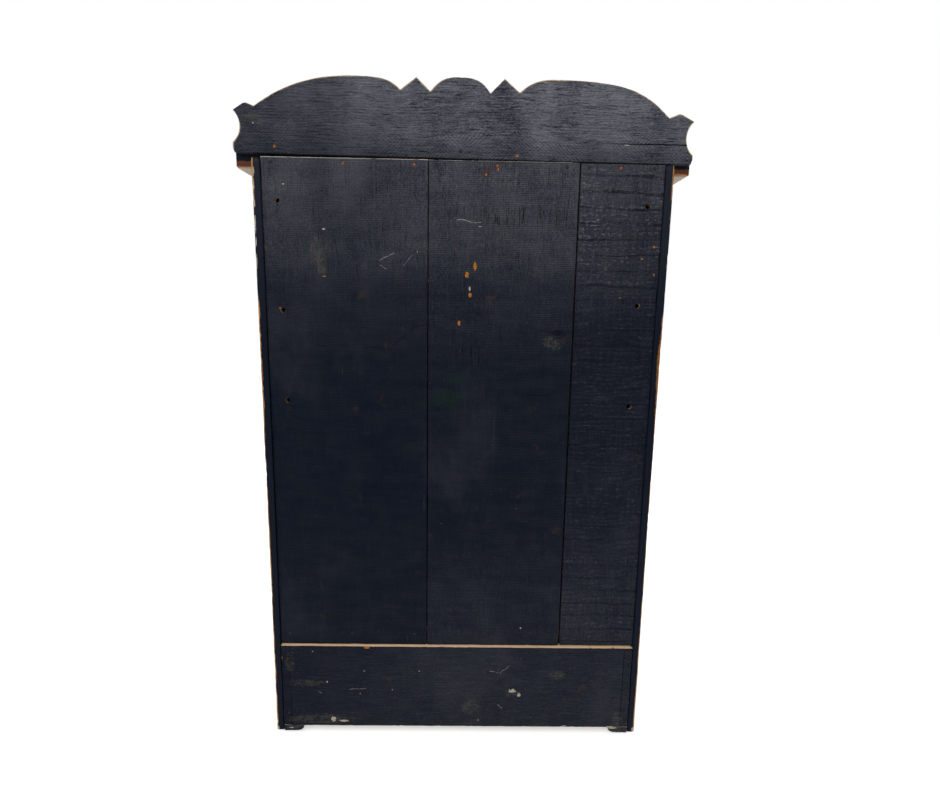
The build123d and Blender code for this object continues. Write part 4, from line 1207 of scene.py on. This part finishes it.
class WARDROBE_OT_back(bpy.types.Operator):
    """Three upright back boards, nailed and painted"""
    bl_idname = "wardrobe.back"
    bl_label = "Back boards"

    def bore_places(self):
        """Centres, in millimetres, of the larger round holes in the outer boards."""
        loops = [loop for node in ("back_plank_wide", "back_plank_narrow") for loop in cap_loops(node, 1)[1:]]
        return [tuple(loop.mean(axis=0) / MM) for loop in loops if np.ptp(loop[:, 0]) > 3 * MM]

    def execute(self, context):
        y = PLANK_BACK_Y / MM
        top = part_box("back_plank_wide")[1][2]
        bare_before = PLANK_BACK_Y - 3.5 * MM
        # Steps of dust and painted sheen by height, lightest near the top where the light from above is painted in.
        fall = ((-0.02, 0.06), (0.1, 0.03), (0.22, 0.0), (0.3, 0.01), (0.36, 0.08), (0.4, 0.33), (0.455, 0.46))
        bores = [(x, y, z, 2.3, 2.3, 0.0) for x, z in self.bore_places()]
        wide = old_paint("Wide board paint", "Z", bare_before=bare_before, chalk_and_sheen=fall, saw=0.55,
                         streaky=0.2, worn_top=top, bores_at=bores, top_band=0.6 * MM, top_breaks=0.36,
                         smears_at=[(105, y, 391, 6.5, 12, 1.6), (106, y, 388, 5, 8, 1.4),
                                    (102, y, 380, 4, 7, 1.4)],
                         scratches_at=[(55, 388.5, 12, -0.53, 0.2, 0.2), (58, 381, 5, 0.6, 0.2, 0.2),
                                       (40, 386, 7, -1.2, 0.2, 0.18)],
                         cuts_at=[(43, 331, 14, -0.95, 0.8, 0.3), (31, 339, 11, -0.35, 0.6, 0.3),
                                  (62, 322, 24, -0.1, 0.8, 0.22), (105, 323, 9, 0.0, 0.6, 0.22)],
                         stains=[(GREEN_STAIN, 0.45, [(24, y, 279, 9, 5, 1.8)])],
                         pale_at=[(100.5, y, 407, 1.1, 0.7, 1.6), (128.5, y, 437.5, 0.7, 0.5, 1.2),
                                  (33, y, 392.0, 0.35, 0.35, 0.6)],
                         chips_at=[(101, y, 373.5, 1.6, 0.35, 0.8), (134.4, y, 350.0, 0.8, 0.9, 0.8)])
        node_board("back_plank_wide", 1, wide, grid=(2.4 * MM, 2.4 * MM), shape=plank_face(11, 0.25 * MM))
        # Dust and painted sheen by height for the middle board.
        fall = ((-0.02, 0.12), (0.1, 0.09), (0.2, 0.01), (0.3, 0.02), (0.36, 0.1), (0.4, 0.3), (0.455, 0.47))
        middle = old_paint("Middle board paint", "Z", bare_before=bare_before, chalk_and_sheen=fall, saw=0.7,
                           saw_spacing=1.25 * MM, streaky=0.3, worn_top=top, top_band=0.55 * MM, top_breaks=0.4,
                           chips_at=[(-9.1, y, 382.7, 1.3, 3.2, 0.9), (-3.3, y, 376.2, 1.5, 2.3, 0.9),
                                     (-5.9, y, 361.7, 1.4, 1.8, 0.9), (2.1, y, 341.2, 1.1, 2.2, 0.8),
                                     (-24.5, y, 450.0, 0.6, 0.9, 1.0), (-16, y, 446.5, 0.8, 0.8, 1.4)],
                           pale_at=[(-5.5, y, 366.4, 0.7, 1.7, 0.8), (-12.5, y, 410.6, 1.1, 0.3, 0.5),
                                    (-51.4, y, 94.2, 0.5, 0.9, 0.5)],
                           scratches_at=[(-4.5, 414.2, 19, 0.0, 1.0, 0.26)],
                           smears_at=[(-66.0, y, 328, 6, 4.5, 1.4), (-71, y, 325, 4, 3, 1.4)],
                           stains=[(RUST_STAIN, 0.6, [(-16, y, 448, 3.2, 3.6, 2.2), (-21, y, 450.5, 2.2, 2.0, 2.0)]),
                                   (GREEN_STAIN, 0.5, [(10, y, 284, 13, 8, 1.6), (2, y, 300, 10, 5, 1.8)]),
                                   (KNOT, 0.8, [(-73, y, 335, 6, 2.4, 1.8)])],
                           ticks_at=[(-46, y, 418, 32, 8, 2.2), (-8, y, 322, 14, 13, 2.2),
                                     (-12, y, 345, 10, 12, 2.4)],
                           cuts_at=[(-66, 335, 16, 0.12, 0.8, 0.35), (-72, 331, 10, -0.5, 0.6, 0.3),
                                    (-58, 287.5, 22, 0.0, 0.2, 0.22)])
        node_board("back_plank_middle", 1, middle, grid=(2.4 * MM, 2.4 * MM), shape=plank_face(23, -0.2 * MM))
        # Dust and painted sheen by height for the rough board.
        fall = ((-0.02, 0.22), (0.10, 0.15), (0.22, 0.02), (0.33, 0.03), (0.40, 0.20), (0.455, 0.36))
        narrow = old_paint("Rough board paint", "Z", bare_before=bare_before, chalk_and_sheen=fall, saw=0.2,
                           rough_saw=True, worn_top=top, bores_at=bores, chips=0.3,
                           chips_at=[(-139.5, y, 398.4, 0.8, 1.1, 0.8), (-131.3, y, 389.7, 1.0, 0.6, 0.8),
                                     (-140.9, y, 378.4, 0.5, 1.0, 0.8), (-116.8, y, 361.4, 0.5, 0.6, 0.8)])
        node_board("back_plank_narrow", 1, narrow, grid=(2.2 * MM, 0.62 * MM), shape=rough_face)
        return {"FINISHED"}


class WARDROBE_OT_apron(bpy.types.Operator):
    """Low back board and its corner blocks"""
    bl_idname = "wardrobe.apron"
    bl_label = "Back apron and feet"

    def execute(self, context):
        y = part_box("back_apron")[1][1] / MM
        # The apron's dust film is partly a painted sheen, and its bright top_colour makes the pale top arris partly a
        # painted highlight.
        material = old_paint("Apron paint", "X", chalk_and_sheen=((-0.02, 0.16), (0.09, 0.11)), darker_side=0.45,
                             wear=0.15, reach=1.3 * MM, weather=0.25, strip=0.137, top_band=0.3 * MM,
                             top_breaks=0.28, worn_top=APRON_TOP, worn_foot=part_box("back_apron")[0][2],
                             top_colour=(0.88, 0.6, 0.38), streaky=0.7, saw=0.3, saw_spacing=1.5 * MM,
                             smears_at=[(112, y, 12, 26, 5, 1.8), (-83.7, y, 54.6, 7, 4, 2.4),
                                        (-11, y, 24, 7, 7, 2.4), (124, y, 45, 14, 3, 2.4),
                                        (-46, y, 37, 6, 4, 2.2), (137, y, 64, 4, 9, 1.8),
                                        (-134.5, y, 14, 5, 6, 1.0), (120, y, 10.5, 24, 2.6, 1.4),
                                        (-133, y, 6, 5, 5, 1.0)],
                             pale_at=[(102.5, y, 12.0, 2.2, 2.2, 2.4), (94, y, 10.3, 3.6, 0.9, 2.2),
                                      (-129, y, 6.2, 3.5, 0.8, 1.8), (-46, y, 39.0, 3.0, 1.6, 2.4),
                                      (-51.6, y, 35.6, 1.4, 1.6, 2.2), (76.3, y, 56.4, 0.5, 0.5, 0.4),
                                      (31.2, y, 56.6, 0.45, 0.5, 0.4), (53.4, y, 39.4, 0.45, 0.45, 0.4),
                                      (80, y, 35.7, 0.4, 0.5, 0.4), (107, y, 46.2, 0.6, 0.9, 0.8),
                                      (-90.2, y, 6.6, 2.2, 0.5, 0.8), (118.1, y, 73.7, 0.5, 0.4, 0.4)],
                             chips_at=[(143.4, y, 67.4, 0.5, 1.6, 0.8), (74, y, 77.4, 2.4, 0.9, 1.0),
                                       (-18, y, 11.9, 0.6, 0.7, 0.5)],
                             scratches_at=[(-39.0, 58.6, 8, -1.1, 0.8, 0.26), (-36, 24.5, 4, 0.8, 0.3, 0.3),
                                           (113.6, 37.0, 4, 0.7, 0.3, 0.25), (-30.5, 56.5, 8, 0.0, 0.3, 0.2),
                                           (82, 40, 14, -0.1, 0.3, 0.2)])
        node_board("back_apron", 1, material, grid=(1.8 * MM, 1.5 * MM), arris=0.8 * MM, shape=apron_face)
        feet = old_paint("Foot block paint", "X", chalk_and_sheen=((-0.02, 0.2), (0.02, 0.2)), wear=0.2,
                         pale_at=[(-131, y, 5.2, 4.0, 0.9, 2.2), (138, y, 3.5, 2.5, 0.5, 2.2)],
                         smears_at=[(-133, y, 6, 6, 5, 0.8), (136, y, 5, 6, 3, 1.2)])
        foot_blocks("back_feet", feet, "painted_pine")
        return {"FINISHED"}


def foot_blocks(node, material, slot_name):
    """The two blocks of a pair, each from its own outline."""
    low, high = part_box(node)
    for index, loop in enumerate(cap_loops(node, 1)):
        made = board(f"worn_{node}_{index}", [loop], 1, low[1], high[1], "case", [node], slot_name,
                     grid=(1.2 * MM, 1.2 * MM), arris=0.5 * MM, seed=5 + index)
        dress(made, material)


class WARDROBE_OT_case(bpy.types.Operator):
    """Side boards, cornice board, plinth and frieze"""
    bl_idname = "wardrobe.case"
    bl_label = "Case"

    def execute(self, context):
        y = BACK_Y / MM
        sides = stained_pine("Stained sides", "Z", wear=0.55, painted_behind=BACK_Y - 2.4 * MM, reach=1.4 * MM,
                             bare_at=[(-150.0, y, 312, 2.9, 27, 1.0), (-150.2, y, 276, 1.9, 16, 1.6),
                                      (-150.4, y, 236, 1.5, 24, 1.8), (-150.4, y, 445, 1.9, 5, 1.6),
                                      (-150.4, y, 120, 1.1, 50, 1.8), (150.3, y, 262, 1.3, 34, 1.8),
                                      (150.3, y, 300, 1.0, 14, 1.8), (150.3, y, 345, 1.0, 20, 2.0)],
                             pale_at=[(148.6, y, 446, 0.5, 2.5, 1.8), (149.0, y, 436, 0.5, 6.0, 2.2),
                                      (149.0, y, 424, 0.45, 4.0, 1.7), (149.1, y, 410, 0.5, 7.0, 2.2),
                                      (149.0, y, 397, 0.4, 3.5, 1.7), (149.2, y, 384, 0.4, 5.0, 2.2),
                                      (-149.0, y, 3.0, 1.5, 2.5, 1.2), (149.2, y, 2.5, 1.2, 2.0, 1.2)])
        bow = wood().warp
        for side, node in ((1, "side_right"), (-1, "side_left")):
            warp = bowed(0, -side * bow * (1.0 if side < 0 else 0.5), 0.0, SIDE_HIGH[2])
            node_board(node, 0, sides, slot_name="stained_pine", top=side > 0, grid=(2.8 * MM, 2.8 * MM),
                       arris=1.0 * MM, shape=plank_face(51, 0.0), warp=warp)
        # The black band on the cornice's back edge is partly paint and partly a painted shadow under the crest.
        cornice = stained_pine("Stained cornice", "X", wear=0.45, pale_below=CORNICE_LOW[2],
                               painted_and_shaded_above=(CORNICE_HIGH[1], CORNICE_LOW[2] + 4.6 * MM))
        node_board("cornice_board", 2, cornice, slot_name="stained_pine", full=True, grid=(3 * MM, 3 * MM),
                   arris=1.3 * MM, shape=plank_face(61, 0.0))
        rails = stained_pine("Stained rails", "X", wear=0.4)
        for node in ("front_plinth", "frieze_rail"):
            node_board(node, 1, rails, slot_name="stained_pine", top=False, grid=(2.6 * MM, 1.6 * MM),
                       shape=plank_face(71, 0.0))
        foot_blocks("front_feet", rails, "stained_pine")
        return {"FINISHED"}


class WARDROBE_OT_inside(bpy.types.Operator):
    """Floor, base, stop strip, hanging rail and its sockets"""
    bl_idname = "wardrobe.inside"
    bl_label = "Inner boards"

    def execute(self, context):
        inner = bare_pine("Bare pine inside", "X")
        for node in ("floor_board", "base_board"):
            node_board(node, 2, inner, slot_name="bare_pine", full=True, grid=(4 * MM, 4 * MM),
                       shape=plank_face(81, 0.0))
        for node in ("door_stop_strip", "hanging_rail", "rail_sockets"):
            keep_node(node, inner)
        return {"FINISHED"}


def panel_face(points, edge, side):
    """The raised field of a door panel, with bevels that fall away to its edges."""
    hidden = 3.7 * MM
    flat, bevel, rise = 5.0 * MM, 5.0 * MM, 1.3 * MM
    if side > 0:
        return np.zeros(len(points))
    share = np.clip((edge - hidden - flat) / bevel, 0, 1)
    return rise * share + 0.06 * MM * wobble(points * (1.0, 0.2), 6 * MM, 3)


class WARDROBE_OT_doors(bpy.types.Operator):
    """Stiles, rails and raised panels of both doors"""
    bl_idname = "wardrobe.doors"
    bl_label = "Doors"

    def execute(self, context):
        upright = stained_pine("Stained stiles", "Z", wear=0.4)
        across = stained_pine("Stained door rails", "X", wear=0.4)
        panels = stained_pine("Stained panels", "Z", wear=0.3, dark=0.5)
        for side in ("left", "right"):
            body = "door_" + side
            for name, material in (("meeting_stile", upright), ("hinge_stile", upright), ("top_rail", across),
                                   ("middle_rail", across), ("bottom_rail", across)):
                node_board(f"{body}_{name}", 1, material, body, "stained_pine", top=False,
                           grid=(2.2 * MM, 2.2 * MM), arris=0.5 * MM, shape=plank_face(91, 0.0))
            for name in ("upper_panel", "lower_panel"):
                node = f"{body}_{name}"
                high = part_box(node)[1]
                made = board("raised_" + node, cap_loops(node, 1, True), 1, high[1] - 2.4 * MM, high[1], body,
                             [node], "stained_pine", grid=(1.7 * MM, 1.7 * MM), arris=0.2 * MM,
                             shape=panel_face, seed=13)
                dress(made, panels)
        return {"FINISHED"}


class WARDROBE_OT_drawer(bpy.types.Operator):
    """Drawer front and box"""
    bl_idname = "wardrobe.drawer"
    bl_label = "Drawer"

    def execute(self, context):
        front = stained_pine("Stained drawer front", "X", wear=0.4, dark=0.45)
        low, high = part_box("drawer_front")
        loops = [rectangle((low[0], low[2]), (high[0], high[2]))] + cap_loops("drawer_front", 1, False)[1:]
        made = board("worn_drawer_front", loops, 1, low[1], high[1], "drawer", ["drawer_front"], "stained_pine",
                     grid=(2.4 * MM, 2.0 * MM), arris=0.7 * MM, shape=plank_face(101, 0.0), seed=21)
        dress(made, front)
        inner = bare_pine("Bare drawer pine", "Y")
        for node in ("drawer_side_left", "drawer_side_right", "drawer_back", "drawer_bottom"):
            keep_node(node, inner, 0.3 * MM)
        return {"FINISHED"}


class WARDROBE_OT_fittings(bpy.types.Operator):
    """Knobs, hinges and the turn button"""
    bl_idname = "wardrobe.fittings"
    bl_label = "Knobs and hinges"

    def execute(self, context):
        knobs = dark_knob("Dark turned knobs")
        turned_knobs("door_left_knob", "door_left", knobs)
        turned_knobs("door_right_knob", "door_right", knobs)
        turned_knobs("drawer_knobs", "drawer", knobs)
        brass = tarnished_brass("Tarnished brass")
        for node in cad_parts:
            if node.startswith("hinge_") or node.startswith("turn_button"):
                keep_node(node, brass, 0.12 * MM)
        return {"FINISHED"}


class WARDROBE_OT_nails(bpy.types.Operator):
    """Hand-driven nails of the case and drawer"""
    bl_idname = "wardrobe.nails"
    bl_label = "Nails"

    def execute(self, context):
        rusty = rusted_iron("Rusted nails")
        covered = rusted_iron("Painted nails", [(86.1, 452.4), (35.4, 452.4), (-24.4, 452.4), (-112.0, 452.4),
                                                (133.7, 462.8)])
        nail_group("plank_nails", 1, 1, covered)
        nail_group("crest_nails", 1, 1, covered)
        nail_group("base_nails", 1, 1, covered)
        nail_group("cornice_nails", 2, 1, rusty)
        nail_group("side_nails_left", 0, -1, rusty)
        nail_group("side_nails_right", 0, 1, rusty)
        keep_node("drawer_nails", rusty, 0.05 * MM)
        return {"FINISHED"}


class WARDROBE_OT_stage(bpy.types.Operator):
    """Pale floor, soft light and the camera behind the wardrobe"""
    bl_idname = "wardrobe.stage"
    bl_label = "Stage"

    def execute(self, context):
        scene = context.scene
        settings = scene.wardrobe_stage
        scene.view_settings.view_transform = "Standard"
        self.make_floor(settings)
        self.make_sky(scene, settings)
        self.make_key(scene, settings)
        self.make_camera(scene, settings)
        return {"FINISHED"}

    def make_floor(self, settings):
        mesh = bpy.data.meshes.new("studio_floor")
        reach = 6.0
        mesh.from_pydata([(-reach, -reach, 0), (reach, -reach, 0), (reach, reach, 0), (-reach, reach, 0)], [],
                         [(0, 1, 2, 3)])
        floor = bpy.data.objects.new("studio_floor", mesh)
        bpy.context.scene.collection.objects.link(floor)
        floor.location.z = -0.0002
        made, shader = new_material("Studio floor")
        feed(shader, {"Base Color": (*settings.floor, 1.0), "Roughness": 0.9, "Specular IOR Level": 0.0})
        tree = made.node_tree
        output = next(n for n in tree.nodes if n.type == "OUTPUT_MATERIAL")
        path = outputs_of(put(tree, "ShaderNodeLightPath"))
        seen = maths("ADD", path["Is Camera Ray"] + path["Is Glossy Ray"], path["Is Transmission Ray"], clamp=True)
        glow = put(tree, "ShaderNodeEmission", {"Color": (1, 1, 1, 1), "Strength": seen * 0.55})
        total = put(tree, "ShaderNodeAddShader", {0: Signal(shader.outputs[0]), 1: Signal(glow.outputs[0])})
        feed(output, {"Surface": Signal(total.outputs[0])})
        mesh.materials.append(made)

    def make_sky(self, scene, settings):
        world = bpy.data.worlds.new("Studio sky")
        scene.world = world
        world.use_nodes = True
        tree = world.node_tree
        tree.nodes.clear()
        direction = Signal(put(tree, "ShaderNodeTexCoord").outputs["Generated"])
        shade = fade(parts_of(direction)["Z"], -0.1, 0.9, 0.62, 1.25)
        light = put(tree, "ShaderNodeBackground", {"Color": (1.0, 0.995, 0.985, 1), "Strength": shade * settings.fill})
        white = put(tree, "ShaderNodeBackground", {"Color": (1, 1, 1, 1), "Strength": 1.0})
        path = outputs_of(put(tree, "ShaderNodeLightPath"))
        seen = maths("ADD", path["Is Camera Ray"], path["Is Transmission Ray"], clamp=True)
        chosen = put(tree, "ShaderNodeMixShader", {0: seen, 1: Signal(light.outputs[0]), 2: Signal(white.outputs[0])})
        feed(put(tree, "ShaderNodeOutputWorld"), {"Surface": Signal(chosen.outputs[0])})

    def make_key(self, scene, settings):
        for name, place, power, size in (("key_softbox", (0.35, BACK_Y + 0.75, 1.35), settings.key, 0.9),
                                         ("front_softbox", (-0.5, FRONT_Y - 1.0, 1.1), settings.key * 0.9, 0.9)):
            data = bpy.data.lights.new(name, "AREA")
            data.energy = power
            data.size = size
            lamp = bpy.data.objects.new(name, data)
            lamp.location = place
            aim = Vector((0, 0, 0.26)) - Vector(place)
            lamp.rotation_euler = aim.to_track_quat("-Z", "Y").to_euler()
            scene.collection.objects.link(lamp)

    def make_camera(self, scene, settings):
        data = bpy.data.cameras.new("camera")
        data.sensor_width = 36.0
        data.lens = settings.lens
        data.clip_start = 0.01
        camera = bpy.data.objects.new("camera", data)
        ahead = Vector((math.sin(settings.yaw) * math.cos(settings.pitch),
                        -math.cos(settings.yaw) * math.cos(settings.pitch), -math.sin(settings.pitch)))
        level = Vector((-math.cos(settings.yaw), -math.sin(settings.yaw), 0))
        upward = level.cross(ahead)
        right = math.cos(settings.roll) * level + math.sin(settings.roll) * upward
        top = right.cross(ahead)
        turn = Matrix((right, top, -ahead)).transposed().to_4x4()
        camera.matrix_world = Matrix.Translation((settings.offset, BACK_Y + settings.distance,
                                                  settings.height)) @ turn
        scene.collection.objects.link(camera)
        scene.camera = camera


class WARDROBE_PT_panel(bpy.types.Panel):
    """Buttons for the wardrobe's pieces"""
    bl_idname = "WARDROBE_PT_panel"
    bl_label = "Wardrobe"
    bl_space_type = "VIEW_3D"
    bl_region_type = "UI"
    bl_category = "Wardrobe"

    def draw(self, context):
        for operator in OPERATORS:
            self.layout.operator(operator.bl_idname)
        for owner in (context.scene.wardrobe_wood, context.scene.wardrobe_paint, context.scene.wardrobe_stage):
            box = self.layout.box()
            for name in owner.__annotations__:
                box.prop(owner, name)


SETTINGS = (WardrobeWoodSettings, WardrobePaintSettings, WardrobeStageSettings)
OPERATORS = (WARDROBE_OT_crest, WARDROBE_OT_back, WARDROBE_OT_case, WARDROBE_OT_apron, WARDROBE_OT_inside,
             WARDROBE_OT_doors, WARDROBE_OT_drawer, WARDROBE_OT_fittings, WARDROBE_OT_nails, WARDROBE_OT_stage)


def register():
    for made in (*SETTINGS, *OPERATORS, WARDROBE_PT_panel):
        bpy.utils.register_class(made)
    bpy.types.Scene.wardrobe_wood = PointerProperty(type=WardrobeWoodSettings)
    bpy.types.Scene.wardrobe_paint = PointerProperty(type=WardrobePaintSettings)
    bpy.types.Scene.wardrobe_stage = PointerProperty(type=WardrobeStageSettings)


def unregister():
    for name in ("wardrobe_stage", "wardrobe_paint", "wardrobe_wood"):
        delattr(bpy.types.Scene, name)
    for made in reversed((*SETTINGS, *OPERATORS, WARDROBE_PT_panel)):
        bpy.utils.unregister_class(made)


def main():
    register()
    make_groups()
    for operator in OPERATORS:
        family, action = operator.bl_idname.split(".")
        getattr(getattr(bpy.ops, family), action)()


if __name__ == "__main__":
    main()
